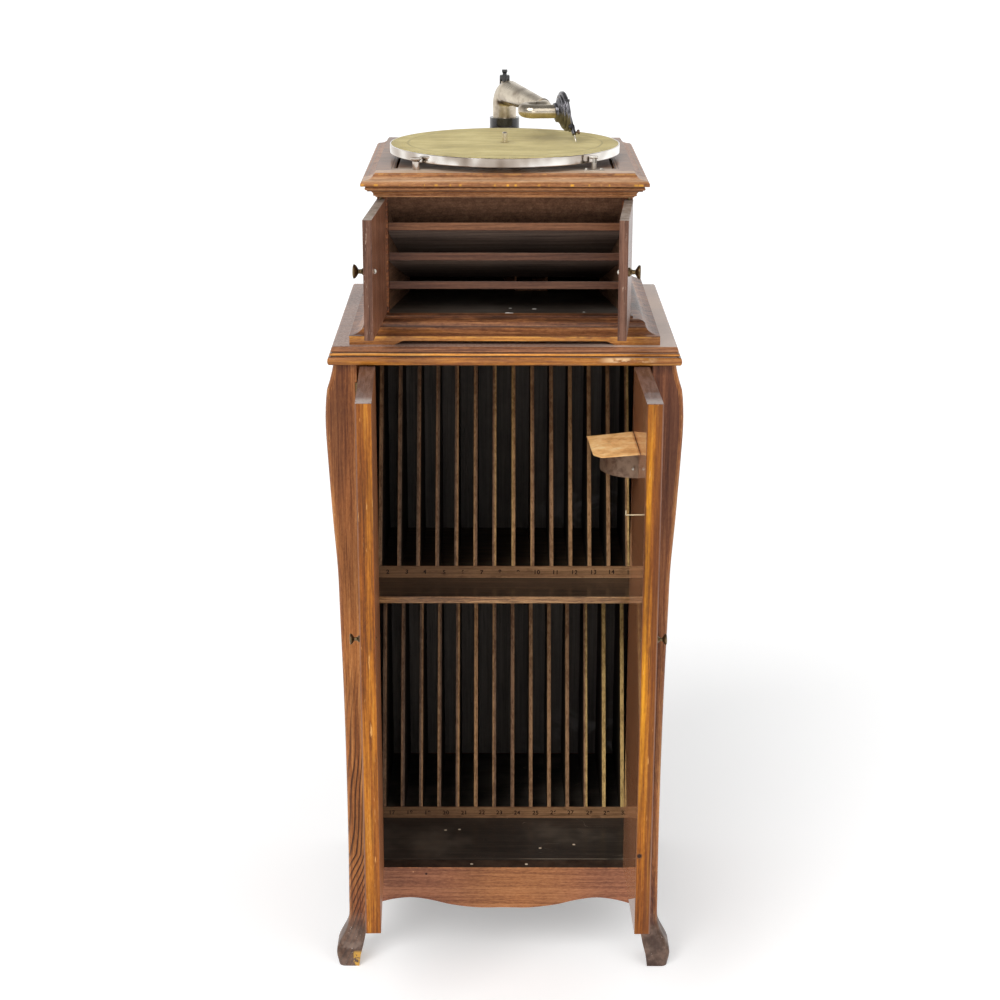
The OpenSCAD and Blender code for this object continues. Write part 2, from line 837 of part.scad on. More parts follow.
// Left side wall of the case; the right one is its mirror image with a winding hole
module case_wall_board() {
    translate([-half_case, wall_y, case_z])
        cube([case_wall, case_back_y - case_back_t - wall_y, case_wall_h]);
}

module case_left_side() {
    color("#76482c") case_wall_board();
}

module case_right_side() {
    color("#76482c")
        difference() {
            mirror([1, 0, 0])
                case_wall_board();
            translate([half_case_inner - 1, spindle_y, wind_z])
                rotate([0, 90, 0])
                    cylinder(r = wind_end_r + 3, h = case_wall + 2);
        }
}

module case_back() {
    color("#5e3c26")
        translate([-half_case, case_back_y - case_back_t, case_z])
            cube([case_w, case_back_t, case_wall_h]);
}

// Moulding of the cornice, upwards: small bead, hollow, bead, nose and a long ogee
cornice_edge = concat(
    [[1 - cornice_over, 0], [1 - cornice_over, 1.5]],
    arc(2 - cornice_over, 3, 2, 1.5, -60, 90, 4),
    arc(-9.5, 4.5, 5.5, 4, 180, 90, 4),
    [[-8, 8.5], [-8, 10]],
    arc(-8, 12.2, 3, 2.2, -80, 80, 5),
    [[-6, 14.4], [-6, 15.6], [-0.8, 15.6], [0, 16.2], [0, 18.3]],
    arc(-5, 18.3, 5, 4.5, 15, 90, 4),
    arc(-5, cornice_h - 1.5, 11, cornice_h - 24.3, -100, -180, 6),
    [[-17, cornice_h - 1.5], [-17.5, cornice_h]]
);

module case_cornice() {
    rebate = board_w / 2 + board_groove;
    color("#874f2d")
        difference() {
            translate([0, 0, deck_z - cornice_h])
                moulded(case_w + 2 * cornice_over, case_y - cornice_over, case_back_y + 2, cornice_edge);
            translate([-rebate, board_y - board_groove, board_z - board_t])
                cube([2 * rebate, board_d + 2 * board_groove, board_t + 10]);
            translate([ledge_w - board_w / 2, board_y + ledge_w, case_z])
                cube([board_w - 2 * ledge_w, board_d - 2 * ledge_w, case_wall_h + cornice_h]);
            translate([0, arm_y, case_z])
                cylinder(r = arm_r + 0.4, h = case_wall_h + cornice_h + 1);
            translate([-control_x, control_y, case_z])
                cylinder(r = regulator_screw_r + turn_fit, h = case_wall_h + cornice_h + 1);
            for (side = [-1, 1]) {
                translate([side * flap_pivot_x, flap_pivot_y, deck_z - cornice_h - 1])
                    cylinder(r = pin_r + seat_fit, h = pivot_seat + 1);
                translate([side * strap_screw_x, arm_y, deck_z - DECK_SCREW_L])
                    cylinder(r = DECK_SCREW_R + seat_fit, h = DECK_SCREW_L + 1);
            }
        }
}

MOTOR_SCREWS = [[-58, -40], [-58, 40], [88, 0]];
DECK_SCREW_R = 2.2;
DECK_SCREW_L = 14;

module motor_board() {
    color("#8a6a52")
        difference() {
            translate([-board_w / 2, board_y, board_z - board_t])
                cube([board_w, board_d, board_t]);
            translate([0, spindle_y, board_z - board_t - 1])
                cylinder(r = 2 * spindle_shaft_r + 1, h = board_t + 2);
            for (p = MOTOR_SCREWS)
                translate([p[0], spindle_y + p[1], board_z - board_t - 1])
                    cylinder(r = DECK_SCREW_R + seat_fit, h = board_t + 2);
        }
}

// Ceiling line of the horn, from the case's mouth down to the slot at its back
horn_y = front_y + horn_back_set;
ceiling_front_z = deck_z - cornice_h - 2;
ceiling_back_z = case_z + horn_slot_h;
function ceiling(y) = ceiling_front_z + (ceiling_back_z - ceiling_front_z) * (y - wall_y) / (horn_y - wall_y);

// Half width of the horn: straight at the mouth, then closing in
narrow_y = wall_y + 18;
module horn_plan() {
    polygon([
        [-half_case_inner, wall_y], [half_case_inner, wall_y], [half_case_inner, narrow_y],
        [horn_half, horn_y], [-horn_half, horn_y], [-half_case_inner, narrow_y]
    ]);
}

// Extrudes an outline drawn in Y and Z across the case
module across(w) {
    rotate([90, 0, 90])
        linear_extrude(w, center = true)
            children();
}

module horn_boards() {
    color("#5c3a26") {
        across(2 * half_case_inner)
            polygon([
                [wall_y, ceiling(wall_y)], [horn_y, ceiling(horn_y)],
                [horn_y, ceiling(horn_y) + ceiling_t], [wall_y, ceiling(wall_y) + 2]
            ]);
        for (side = [0, 1])
            mirror([side, 0, 0])
                intersection() {
                    translate([0, 0, case_z])
                        linear_extrude(case_wall_h)
                            polygon([
                                [half_case_inner, narrow_y], [horn_half, horn_y],
                                [horn_half + horn_wall_t, horn_y], [half_case_inner, narrow_y + 3 * horn_wall_t]
                            ]);
                    across(2 * case_w)
                        polygon([
                            [wall_y, case_z], [horn_y, case_z], [horn_y, ceiling(horn_y)], [wall_y, ceiling(wall_y)]
                        ]);
                }
    }
}

// Slats of the horn: [height of the front face's top above the case floor, drop per length, length]
SLATS = [[117, 0.6, 86], [78, 0.385, 117], [40.5, 0.165, 117]];
SLAT_TAIL = 6;

module horn_slats() {
    y = front_y + slat_set;
    color("#7a4c30")
        intersection() {
            translate([0, 0, case_z])
                linear_extrude(case_wall_h)
                    horn_plan();
            union() {
                for (s = SLATS)
                    across(2 * case_w)
                        polygon([
                            [y, case_z + s[0] - slat_h], [y + s[2], case_z + s[0] - slat_h - s[1] * s[2]],
                            [y + s[2], case_z + s[0] - slat_h - s[1] * s[2] + SLAT_TAIL], [y, case_z + s[0]]
                        ]);
            }
        }
}

// Neck that carries the sound from the tonearm's foot to the horn's slot
throat_d = 24;
module throat_plan(inset) {
    y0 = horn_y + 2;
    y1 = case_back_y - case_back_t - 0.5 - inset;
    polygon([
        [throat_x - throat_w / 2 + inset, y0], [throat_x + throat_w / 2 - inset, y0],
        [throat_d / 2 - inset + 3, y1 - throat_d + 2 * inset], [throat_d / 2 - inset + 3, y1],
        [-throat_d / 2 + inset - 3, y1], [-throat_d / 2 + inset - 3, y1 - throat_d + 2 * inset]
    ]);
}

module horn_throat() {
    top_z = deck_z - cornice_h;
    y1 = case_back_y - case_back_t - 0.5;
    neck_h = horn_slot_h - 2.5;
    color("#6e5a4a")
        translate([0, 0, case_z])
            difference() {
                union() {
                    linear_extrude(neck_h)
                        throat_plan(0);
                    translate([-throat_d / 2 - 3, y1 - throat_d, 0])
                        cube([throat_d + 6, throat_d, top_z - case_z]);
                }
                translate([0, 0, throat_wall])
                    linear_extrude(neck_h - 2 * throat_wall)
                        throat_plan(throat_wall);
                translate([-throat_d / 2 - 3 + throat_wall, y1 - throat_d + throat_wall, throat_wall])
                    cube([throat_d + 6 - 2 * throat_wall, throat_d - 2 * throat_wall, top_z - case_z]);
                translate([throat_x - throat_w / 2 + throat_wall, horn_y - 10, throat_wall])
                    cube([throat_w - 2 * throat_wall, 14, neck_h - 2 * throat_wall]);
            }
}

// Small doors turn on pins near their outer edges
flap_pivot_x = half_case - flap_t / 2;
flap_pivot_y = case_y + flap_t / 2;
flap_z = case_z + flap_gap;
flap_l = flap_pivot_x - flap_meeting;

module at_flap(angle) {
    translate([-flap_pivot_x, flap_pivot_y, 0])
        rotate([0, 0, -angle])
            children();
}

module flap_board() {
    difference() {
        translate([0, 0, flap_z])
            linear_extrude(flap_h) {
                circle(r = flap_t / 2);
                translate([0, -flap_t / 2])
                    square([flap_l, flap_t]);
            }
        for (z = [flap_z - 1, flap_z + flap_h - pivot_depth])
            translate([0, 0, z])
                cylinder(r = pin_r + turn_fit, h = pivot_depth + 1);
        translate([flap_l - flap_knob_inset, -flap_t / 2 - 1, flap_z + flap_knob_h])
            rotate([-90, 0, 0])
                cylinder(r = knob_screw_r + seat_fit, h = flap_t + 2);
    }
}

module flap_knob() {
    translate([flap_l - flap_knob_inset, -flap_t / 2, flap_z + flap_knob_h])
        knob(flap_knob_r, flap_knob_l, flap_t);
}

module left_flap() {
    color("#7a4a30") at_flap(left_flap_angle) flap_board();
}

module right_flap() {
    color("#7a4a30") mirror([1, 0, 0]) at_flap(right_flap_angle) flap_board();
}

module left_flap_knob() {
    color("#6b5a3a") at_flap(left_flap_angle) flap_knob();
}

module right_flap_knob() {
    color("#6b5a3a") mirror([1, 0, 0]) at_flap(right_flap_angle) flap_knob();
}

module flap_pivots() {
    low = case_z - pivot_seat;
    high = flap_z + flap_h - pivot_depth + 0.5;
    color("#9a8a5c")
        for (side = [-1, 1])
            translate([side * flap_pivot_x, flap_pivot_y, 0]) {
                translate([0, 0, low])
                    cylinder(r = pin_r, h = pivot_seat + flap_gap + pivot_depth - 1.5);
                translate([0, 0, high])
                    cylinder(r = pin_r, h = deck_z - cornice_h + pivot_seat - 0.5 - high);
            }
}

hub_h = sheet_z - rim_z + 3.3;

module turntable() {
    color("#c9c6bd")
        translate([0, spindle_y, 0])
            rotate_extrude($fn = 128)
                polygon(concat(
                    [[spindle_shaft_r + seat_fit, sheet_z - hub_h], [9, sheet_z - hub_h], [10, sheet_z],
                        [platter_r - 3.4, sheet_z], [platter_r - platter_t, sheet_z - 1.6],
                        [platter_r - platter_t, rim_z]],
                    arc(platter_r - 0.8, rim_z + 0.8, 0.8, 0.8, -90, 0, 3),
                    arc(platter_r - 0.8, rim_z + rim_h - 0.8, 0.8, 0.8, 0, 90, 3),
                    [[platter_r - 1.6, rim_z + rim_h], [platter_r - 1.6, felt_top - felt_t],
                        [spindle_shaft_r + seat_fit, felt_top - felt_t]]
                ));
}

module turntable_felt() {
    color("#b3a869")
        translate([0, spindle_y, felt_top - felt_t])
            difference() {
                cylinder(r = platter_r - 1.6 - seat_fit, h = felt_t, $fn = 128);
                translate([0, 0, -1])
                    cylinder(r = spindle_shaft_r + 1, h = felt_t + 2);
            }
}

// Spur wheel with plain flanks: a tooth centred on the angle phase
function tooth_ring(teeth, m, phase) = let (pitch = 360 / teeth, r = teeth * m / 2)
    [for (i = [0:teeth - 1]) for (p = [[-0.27, -1.15], [-0.1, 0.85], [0.1, 0.85], [0.27, -1.15]])
        let (a = phase + pitch * (i + p[0]), rr = r + m * p[1]) [rr * cos(a), rr * sin(a)]];

module spur(teeth, m, phase, z, t) {
    translate([0, 0, z])
        linear_extrude(t)
            polygon(tooth_ring(teeth, m, phase));
}

// Wheel train: spindle to intermediate shaft to barrel, and spindle to governor
BARREL_TEETH = 72;
MID_PINION = 10;
MID_TEETH = 48;
SPINDLE_PINION = 12;
GOVERNOR_WHEEL = 50;
GOVERNOR_PINION = 10;
mid_angle = 42;
governor_angle = 210;
mid_gap = gear_module * (MID_TEETH + SPINDLE_PINION) / 2;
barrel_gap = gear_module * (BARREL_TEETH + MID_PINION) / 2;
governor_gap = gear_module * (GOVERNOR_WHEEL + GOVERNOR_PINION) / 2;
mid_at = [mid_gap * cos(mid_angle), mid_gap * sin(mid_angle)];
barrel_x = mid_at[0] + sqrt(barrel_gap^2 - mid_at[1]^2);
governor_at = [governor_gap * cos(governor_angle), governor_gap * sin(governor_angle)];
mid_to_barrel = atan2(-mid_at[1], barrel_x - mid_at[0]);
function meshed(direction, teeth) = direction + 180 + 180 / teeth;

top_plate_z = board_z - board_t - plate_t;
low_plate_z = top_plate_z - plate_gap - plate_t;
barrel_z = low_plate_z + plate_t + 2;
barrel_gear_z = barrel_z + barrel_h;
mid_gear_z = barrel_gear_z + gear_t + 9;
governor_gear_z = mid_gear_z + gear_t + 6;

SPINDLE_STEP = 0.5;
module spindle() {
    top_z = felt_top + spindle_h;
    color("#a9a59a")
        translate([0, spindle_y, 0]) {
            translate([0, 0, low_plate_z])
                cylinder(r = spindle_shaft_r, h = felt_top + SPINDLE_STEP - low_plate_z);
            translate([0, 0, felt_top + SPINDLE_STEP])
                cylinder(r = spindle_r, h = spindle_h - 1.5 - SPINDLE_STEP);
            translate([0, 0, top_z - 1.5])
                cylinder(r1 = spindle_r, r2 = spindle_r - 1.4, h = 1.5);
            translate([0, 0, sheet_z - hub_h - 2])
                cylinder(r = 2 * spindle_shaft_r - 1, h = 2);
            spur(SPINDLE_PINION, gear_module, mid_angle, mid_gear_z - 2, gear_t + 4);
            spur(GOVERNOR_WHEEL, gear_module, governor_angle, governor_gear_z, gear_t);
        }
}

PILLARS = [[-42, -42], [-42, 42], [100, -42], [100, 42]];
bracket_x = barrel_x + 44;

// A motor plate; the upper one reaches to the left, under the board's screws
module motor_plate(z, reach, screws) {
    low = PILLARS[0] - [7 + reach, 7];
    difference() {
        translate([low[0], low[1], z])
            cube([PILLARS[3][0] + 7 - low[0], -2 * low[1], plate_t]);
        for (hole = [
            [[0, 0], spindle_shaft_r + turn_fit], [mid_at, mid_shaft_r + turn_fit],
            [[barrel_x, 0], arbor_r + turn_fit], [governor_at, governor_shaft_r + turn_fit],
            for (p = screws) [p, DECK_SCREW_R + seat_fit]
        ])
            translate([hole[0][0], hole[0][1], z - 1])
                cylinder(r = hole[1], h = plate_t + 2);
    }
}

module motor_frame() {
    color("#8d8a80")
        translate([0, spindle_y, 0]) {
            motor_plate(low_plate_z, 0, []);
            motor_plate(top_plate_z, 17, MOTOR_SCREWS);
            for (p = PILLARS)
                translate([p[0], p[1], low_plate_z + plate_t])
                    cylinder(r = pillar_r, h = plate_gap);
            difference() {
                translate([bracket_x - 4, -10, wind_z - 10])
                    cube([8, 20, low_plate_z - wind_z + 10]);
                translate([bracket_x - 5, 0, wind_z])
                    rotate([0, 90, 0])
                        cylinder(r = wind_shaft_r + turn_fit, h = 10);
            }
        }
}

// Round-headed screws: three hold the motor, two the tonearm's bracket
module deck_screw(head_z) {
    translate([0, 0, head_z])
        cylinder(r1 = 4.4, r2 = 2.6, h = 2.4);
    translate([0, 0, head_z - DECK_SCREW_L])
        cylinder(r = DECK_SCREW_R, h = DECK_SCREW_L);
}

module deck_screws() {
    color("#8f8b80") {
        for (p = MOTOR_SCREWS)
            translate([p[0], spindle_y + p[1], 0])
                deck_screw(board_z);
        for (side = [-1, 1])
            translate([side * strap_screw_x, arm_y, 0])
                deck_screw(deck_z + bracket_foot_t);
    }
}

module spring_barrel() {
    color("#a58d50")
        translate([barrel_x, spindle_y, 0])
            difference() {
                union() {
                    translate([0, 0, barrel_z])
                        cylinder(r = barrel_r, h = barrel_h);
                    spur(BARREL_TEETH, gear_module, meshed(mid_to_barrel, BARREL_TEETH), barrel_gear_z, gear_t);
                }
                translate([0, 0, barrel_z + barrel_wall])
                    cylinder(r = barrel_r - barrel_wall, h = barrel_h - 2 * barrel_wall);
                translate([0, 0, barrel_z - 1])
                    cylinder(r = arbor_r + turn_fit, h = barrel_h + gear_t + 2);
            }
}

// Flat strip wound as a spiral, its outer end against the barrel's wall
module mainspring() {
    r_out = barrel_r - barrel_wall - 0.3;
    r_in = arbor_r + 2.5;
    steps = spring_turns * 18;
    grow = (r_out - spring_t - r_in) / steps;
    function coil(i, off) = let (a = 360 * spring_turns * i / steps, r = r_in + grow * i + off)
        [r * cos(a), r * sin(a)];
    color("#5d6470")
        translate([barrel_x, spindle_y, barrel_z + barrel_wall + 0.5])
            linear_extrude(barrel_h - 2 * barrel_wall - 1)
                polygon(concat([for (i = [0:steps]) coil(i, spring_t)], [for (i = [steps:-1:0]) coil(i, 0)]));
}

WIND_FACE_TEETH = 24;
WIND_PINION = 10;
face_z = low_plate_z - 3 - gear_t;
face_r = WIND_FACE_TEETH * wind_module / 2;
wind_z = face_z - wind_module - WIND_PINION * wind_module / 2;
FACE_W = 4;

module barrel_arbor() {
    color("#97938a")
        translate([barrel_x, spindle_y, 0]) {
            translate([0, 0, face_z])
                cylinder(r = arbor_r, h = top_plate_z + plate_t - face_z);
            translate([0, 0, face_z])
                cylinder(r = face_r + FACE_W / 2 + 1, h = gear_t);
            for (i = [0:WIND_FACE_TEETH - 1])
                rotate([0, 0, (i + 0.5) * 360 / WIND_FACE_TEETH])
                    translate([face_r - FACE_W / 2, -0.53 * wind_module, face_z - 1.8 * wind_module])
                        cube([FACE_W, 1.06 * wind_module, 1.8 * wind_module + 1]);
        }
}

module intermediate_shaft() {
    color("#a49f92")
        translate([mid_at[0], spindle_y + mid_at[1], 0]) {
            translate([0, 0, low_plate_z])
                cylinder(r = mid_shaft_r, h = top_plate_z + plate_t - low_plate_z);
            spur(MID_PINION, gear_module, mid_to_barrel, barrel_gear_z - 2, gear_t + 4);
            spur(MID_TEETH, gear_module, meshed(mid_angle, MID_TEETH), mid_gear_z, gear_t);
        }
}

GOVERNOR_DISC_R = 14;

module governor() {
    disc_z = barrel_z + 8;
    hub_z = governor_gear_z - 12;
    color("#b39a5c")
        translate([governor_at[0], spindle_y + governor_at[1], 0]) {
            translate([0, 0, low_plate_z])
                cylinder(r = governor_shaft_r, h = top_plate_z + plate_t - low_plate_z);
            spur(GOVERNOR_PINION, gear_module, meshed(governor_angle, GOVERNOR_PINION), governor_gear_z - 2, gear_t + 4);
            translate([0, 0, disc_z])
                cylinder(r = GOVERNOR_DISC_R, h = 2);
            for (z = [disc_z + 2, hub_z])
                translate([0, 0, z])
                    cylinder(r = 5, h = 4);
            for (a = [0, 120, 240])
                rotate([0, 0, a]) {
                    translate([4.6, -2, disc_z + 2])
                        cube([0.6, 4, hub_z - disc_z + 2]);
                    translate([5.2, 0, (disc_z + hub_z) / 2])
                        rotate([0, 90, 0])
                            cylinder(r = 4, h = 6);
                }
        }
}

module winding_shaft() {
    start_x = barrel_x + face_r - FACE_W;
    end_x = half_case + escutcheon_t;
    collar_x = half_case - crank_socket_l;
    color("#8f8b80")
        translate([0, spindle_y, wind_z])
            rotate([0, 90, 0])
                difference() {
                    union() {
                        translate([0, 0, start_x])
                            cylinder(r = wind_shaft_r, h = collar_x - start_x + 1);
                        translate([0, 0, collar_x])
                            cylinder(r = wind_end_r, h = end_x - collar_x);
                        spur(WIND_PINION, wind_module, 180, barrel_x + face_r - FACE_W / 2, FACE_W);
                    }
                    translate([0, 0, end_x - crank_socket_l])
                        cylinder(r = crank_socket_r, h = crank_socket_l + 1);
                }
}

module crank_escutcheon() {
    color("#b7a26a")
        translate([half_case, spindle_y, wind_z])
            rotate([0, 90, 0])
                difference() {
                    union() {
                        cylinder(r = escutcheon_r, h = escutcheon_t - 1);
                        cylinder(r = wind_end_r + 3, h = escutcheon_t);
                    }
                    translate([0, 0, -1])
                        cylinder(r = wind_end_r + turn_fit, h = escutcheon_t + 2);
                }
}

module speed_regulator() {
    color("#d8d4c8")
        translate([-control_x, control_y, 0]) {
            translate([0, 0, deck_z - cornice_h + 2])
                cylinder(r = regulator_screw_r, h = cornice_h);
            translate([0, 0, deck_z + KNUCKLE_GAP])
                cylinder(r = regulator_r, h = regulator_h);
            translate([0, 0, deck_z + KNUCKLE_GAP + regulator_h])
                cylinder(r1 = regulator_screw_r + 1, r2 = regulator_top_r, h = 3.6);
            translate([0, 0, deck_z + KNUCKLE_GAP + regulator_h + 3.6])
                cylinder(r = regulator_top_r, h = 1.2);
        }
}

BRAKE_PLATE = [26, 9, 1.4];
STUD_R = 1.5;
brake_gap = 0.3;

module brake_plate() {
    color("#9b968a")
        translate([control_x, control_y - 4, deck_z]) {
            translate([-BRAKE_PLATE[0] / 2, -BRAKE_PLATE[1] / 2, 0])
                cube(BRAKE_PLATE);
            for (side = [-1, 1])
                translate([side * (BRAKE_PLATE[0] / 2 - 3.5), 0, BRAKE_PLATE[2]])
                    cylinder(r1 = 2.6, r2 = 1.8, h = 1.3);
            translate([0, 0, BRAKE_PLATE[2]])
                cylinder(r = STUD_R, h = 5);
        }
}

module brake_lever() {
    low = BRAKE_PLATE[2] + brake_gap;
    to_spindle = atan2(spindle_y - control_y + 4, -control_x);
    pad_z = rim_gap + 1;
    color("#8a857a")
        translate([control_x, control_y - 4, deck_z])
            rotate([0, 0, to_spindle - brake_rest_angle]) {
                difference() {
                    translate([0, 0, low])
                        cylinder(r = 3.4, h = 8);
                    translate([0, 0, low - 1])
                        cylinder(r = STUD_R + turn_fit, h = BRAKE_PLATE[2] + 5.4 - low + 1);
                }
                translate([0, -1.6, pad_z - 2])
                    cube([brake_reach, 3.2, 2]);
                translate([brake_reach - 3, -2.4, pad_z - 2])
                    cube([3, 4.8, 8]);
                translate([0, 0, low + 7])
                    cylinder(r = 1.7, h = brake_h - low - 7);
                translate([0, -5, brake_h])
                    rotate([-90, 0, 0])
                        cylinder(r = 1.9, h = 10);
            }
}

// Tonearm: heights of its parts above the case's top
bracket_foot_t = 4;
strap_screw_x = 30;
collar_z = deck_z + collar_h;
elbow_z = collar_z + elbow_rise;
tube_z = elbow_z + elbow_r;
boss_z = elbow_z + sqrt((elbow_r + arm_r)^2 - elbow_r^2) + 3;
strap_z = boss_z + 3;

module strap_outline() {
    polygon(concat(
        [[arm_y + arm_r + 1.6, collar_z - 8], [arm_y + collar_r, collar_z - 8], [arm_y + collar_r, elbow_z + 6]],
        [[arm_y + 17, elbow_z + 22], [arm_y + 10, strap_z + 3], [arm_y + 5, strap_z + 5], [arm_y - 6, strap_z + 5]],
        [[arm_y - 6, strap_z], [arm_y + 5, strap_z], [arm_y + 12.2, elbow_z + 20], [arm_y + arm_r + 1.6, elbow_z + 4]]
    ));
}

module tonearm_bracket() {
    color("#1c1c1e")
        difference() {
            union() {
                translate([0, arm_y, deck_z]) {
                    cylinder(r = collar_r, h = collar_h);
                    linear_extrude(bracket_foot_t) {
                        square([2 * strap_screw_x, 16], center = true);
                        for (side = [-1, 1])
                            translate([side * strap_screw_x, 0])
                                circle(r = 8);
                    }
                }
                across(strap_w)
                    strap_outline();
                translate([0, arm_y, strap_z])
                    cylinder(r = 6.5, h = 6);
            }
            translate([0, arm_y, deck_z - 1])
                cylinder(r = arm_r + turn_fit, h = collar_h + 2);
            translate([0, arm_y, strap_z - 1])
                cylinder(r = top_screw_r + seat_fit, h = 10);
            for (side = [-1, 1])
                translate([side * strap_screw_x, arm_y, deck_z - 1])
                    cylinder(r = DECK_SCREW_R + seat_fit, h = bracket_foot_t + 2);
        }
}

module top_screw() {
    color("#2a2a2c")
        translate([0, arm_y, boss_z + 0.3]) {
            cylinder(r = top_screw_r, h = strap_z + 8 - boss_z);
            translate([0, 0, strap_z + 8 - boss_z])
                cylinder(r1 = top_screw_r, r2 = 4, h = 2);
            translate([0, 0, strap_z + 10 - boss_z])
                cylinder(r = 4, h = 3);
        }
}

// Frame of the tonearm's elbow: X along the arm, Z up its pivot
module at_arm() {
    translate([0, arm_y, elbow_z])
        rotate([0, 0, arm_angle - 90])
            children();
}

// Frame of the sloping tube: X along it from the elbow's end
module at_tube() {
    at_arm()
        translate([elbow_r * (1 + sin(arm_pitch)), 0, elbow_r * cos(arm_pitch)])
            rotate([0, arm_pitch, 0])
                children();
}

// Frame of the swivel at the small elbow's end: X leads out of the tonearm
module at_swivel() {
    at_tube()
        translate([
            tube_l + small_elbow_r * sin(small_elbow_angle),
            -small_elbow_r * (1 - cos(small_elbow_angle)),
            0
        ])
            rotate([0, 0, -small_elbow_angle])
                children();
}

// A bent stretch of rod: turns by angle about the point [0, r], starting along X.
// It is a hair thicker than the straight stretches it joins.
BEND_STEP = 0.1;
LAP = 0.5;
module bend(r, tube, angle) {
    translate([0, r, 0])
        rotate([0, 0, -90])
            rotate_extrude(angle = angle, $fn = 96)
                translate([r, 0])
                    circle(r = tube + BEND_STEP);
}

tube_l = (arm_l - elbow_r * (1 + sin(arm_pitch))) / cos(arm_pitch);
FERRULE = 4;
NECK_SPIGOT = 4;
spigot_r = arm_end_r - 2 * tube_wall + 0.1;

// The arm as a rod, thinner all round by wall, its small elbow stopping short of the end by stop
module arm_rod(wall, stop) {
    foot = elbow_z - deck_z - 1 + wall;
    at_arm() {
        translate([0, 0, -foot])
            cylinder(r = arm_r - wall, h = foot + LAP);
        rotate([-90, 0, 0])
            rotate([0, 0, -90])
                bend(elbow_r, arm_r - wall, 90 + arm_pitch);
    }
    at_tube() {
        translate([-LAP, 0, 0])
            rotate([0, 90, 0])
                cylinder(r1 = arm_r - wall, r2 = arm_end_r - wall, h = tube_l + 2 * LAP);
        translate([tube_l, 0, 0])
            mirror([0, 1, 0])
                bend(small_elbow_r, arm_end_r - wall, small_elbow_angle - stop);
    }
}

module tonearm() {
    color("#b8b09c")
        difference() {
            union() {
                arm_rod(0, 0);
                translate([0, arm_y, boss_z - 9])
                    cylinder(r = 5, h = 9);
                at_tube()
                    translate([tube_l - FERRULE, 0, 0])
                        rotate([0, 90, 0])
                            cylinder(r = arm_end_r + 1, h = FERRULE);
            }
            arm_rod(tube_wall, 14);
            at_swivel()
                translate([-NECK_SPIGOT - 0.4, 0, 0])
                    rotate([0, 90, 0])
                        cylinder(r = spigot_r + turn_fit, h = NECK_SPIGOT + 2);
        }
}

// The gooseneck as a rod: back leg from start, half turn and front leg
module neck_rod(r, start) {
    translate([start, 0, 0])
        rotate([0, 90, 0])
            cylinder(r = r, h = neck_leg + LAP - start);
    translate([neck_leg, 0, 0])
        bend(neck_bend_r, r, 180);
    translate([-box_reach, 2 * neck_bend_r, 0])
        rotate([0, 90, 0])
            cylinder(r = r, h = neck_leg + box_reach + LAP);
}

module gooseneck() {
    color("#bdb6a4")
        at_swivel()
            difference() {
                union() {
                    neck_rod(neck_r, 0.3);
                    translate([-NECK_SPIGOT, 0, 0])
                        rotate([0, 90, 0])
                            cylinder(r = spigot_r, h = NECK_SPIGOT + 1);
                }
                neck_rod(neck_r - tube_wall, 2);
                translate([-NECK_SPIGOT - 1, 0, 0])
                    rotate([0, 90, 0])
                        cylinder(r = spigot_r - tube_wall, h = NECK_SPIGOT + 3.5);
            }
}

// Frame of the soundbox: X out through its face, -Y forward, centred on the gooseneck's end
module at_box() {
    at_swivel()
        translate([-box_reach, 2 * neck_bend_r, 0])
            rotate([0, 0, 180])
                children();
}

box_back = 4;
module at_face() {
    at_box()
        translate([box_back + box_t / 2, 0, 0])
            rotate([0, -box_lean, 0])
                translate([-box_t / 2, 0, 0])
                    children();
}

module soundbox() {
    color("#26282b") {
        at_box()
            rotate([0, 90, 0])
                cylinder(r = neck_r + 3, h = box_back + 1);
        at_face() {
            rotate([0, 90, 0])
                rotate_extrude($fn = 96)
                    polygon([
                        [0, -1.5], [box_r - 5, -1.5], [box_r - 3.4, -0.6], [box_r - 3.4, 1], [box_r - 1, 1.4],
                        [box_r, 2.4], [box_r, box_t - 1.2], [box_r - 1.2, box_t], [box_r - 3, box_t],
                        [box_r - 4.2, box_t - 1.8], [0, box_t - 1.8]
                    ]);
            for (a = [45, 165, 285])
                rotate([a, 0, 0])
                    translate([box_t - 2.5, 0, box_r - 2.6])
                        rotate([0, 90, 0])
                            cylinder(r = 1.7, h = 3.9, $fn = 24);
            rotate([-needle_angle, 0, 0]) {
                translate([box_t - 0.2, -2, -box_r - 3])
                    cube([3.6, 4, box_r - 2]);
                translate([box_t - 2, 0, -6])
                    rotate([0, 90, 0])
                        cylinder(r = 1.2, h = 5);
                translate([box_t - 4, -4.5, -box_r - 3.6])
                    cube([7.6, 9, 5]);
                translate([box_t + NEEDLE_OUT, 0, -needle_root])
                    difference() {
                        cylinder(r = chuck_r, h = chuck_l);
                        translate([0, 0, -1])
                            cylinder(r = needle_r + seat_fit, h = chuck_l);
                        translate([0, 0, 3])
                            rotate([0, 90, 0])
                                cylinder(r = 1.2 + turn_fit, h = chuck_r + 1);
                    }
            }
        }
    }
}

// Length of the needle, from the soundbox's middle, that brings its tip near the felt
needle_root = box_r + 2 + chuck_l;
NEEDLE_OUT = 1.4;
face_out = box_t / 2 + NEEDLE_OUT;
swivel_z = elbow_z + elbow_r * cos(arm_pitch)
    - sin(arm_pitch) * (tube_l + small_elbow_r * sin(small_elbow_angle));
tip_back = box_reach + box_back + box_t / 2 + face_out * cos(box_lean);
tip_side = 2 * neck_bend_r;
needle_rise = sin(arm_pitch) * (cos(needle_angle) * sin(box_lean) * cos(small_elbow_angle)
    - sin(needle_angle) * sin(small_elbow_angle)) - cos(arm_pitch) * cos(needle_angle) * cos(box_lean);
needle_tip = (felt_top + needle_gap - swivel_z
    + sin(arm_pitch) * (tip_side * sin(small_elbow_angle) - tip_back * cos(small_elbow_angle))
    - cos(arm_pitch) * face_out * sin(box_lean)) / needle_rise;

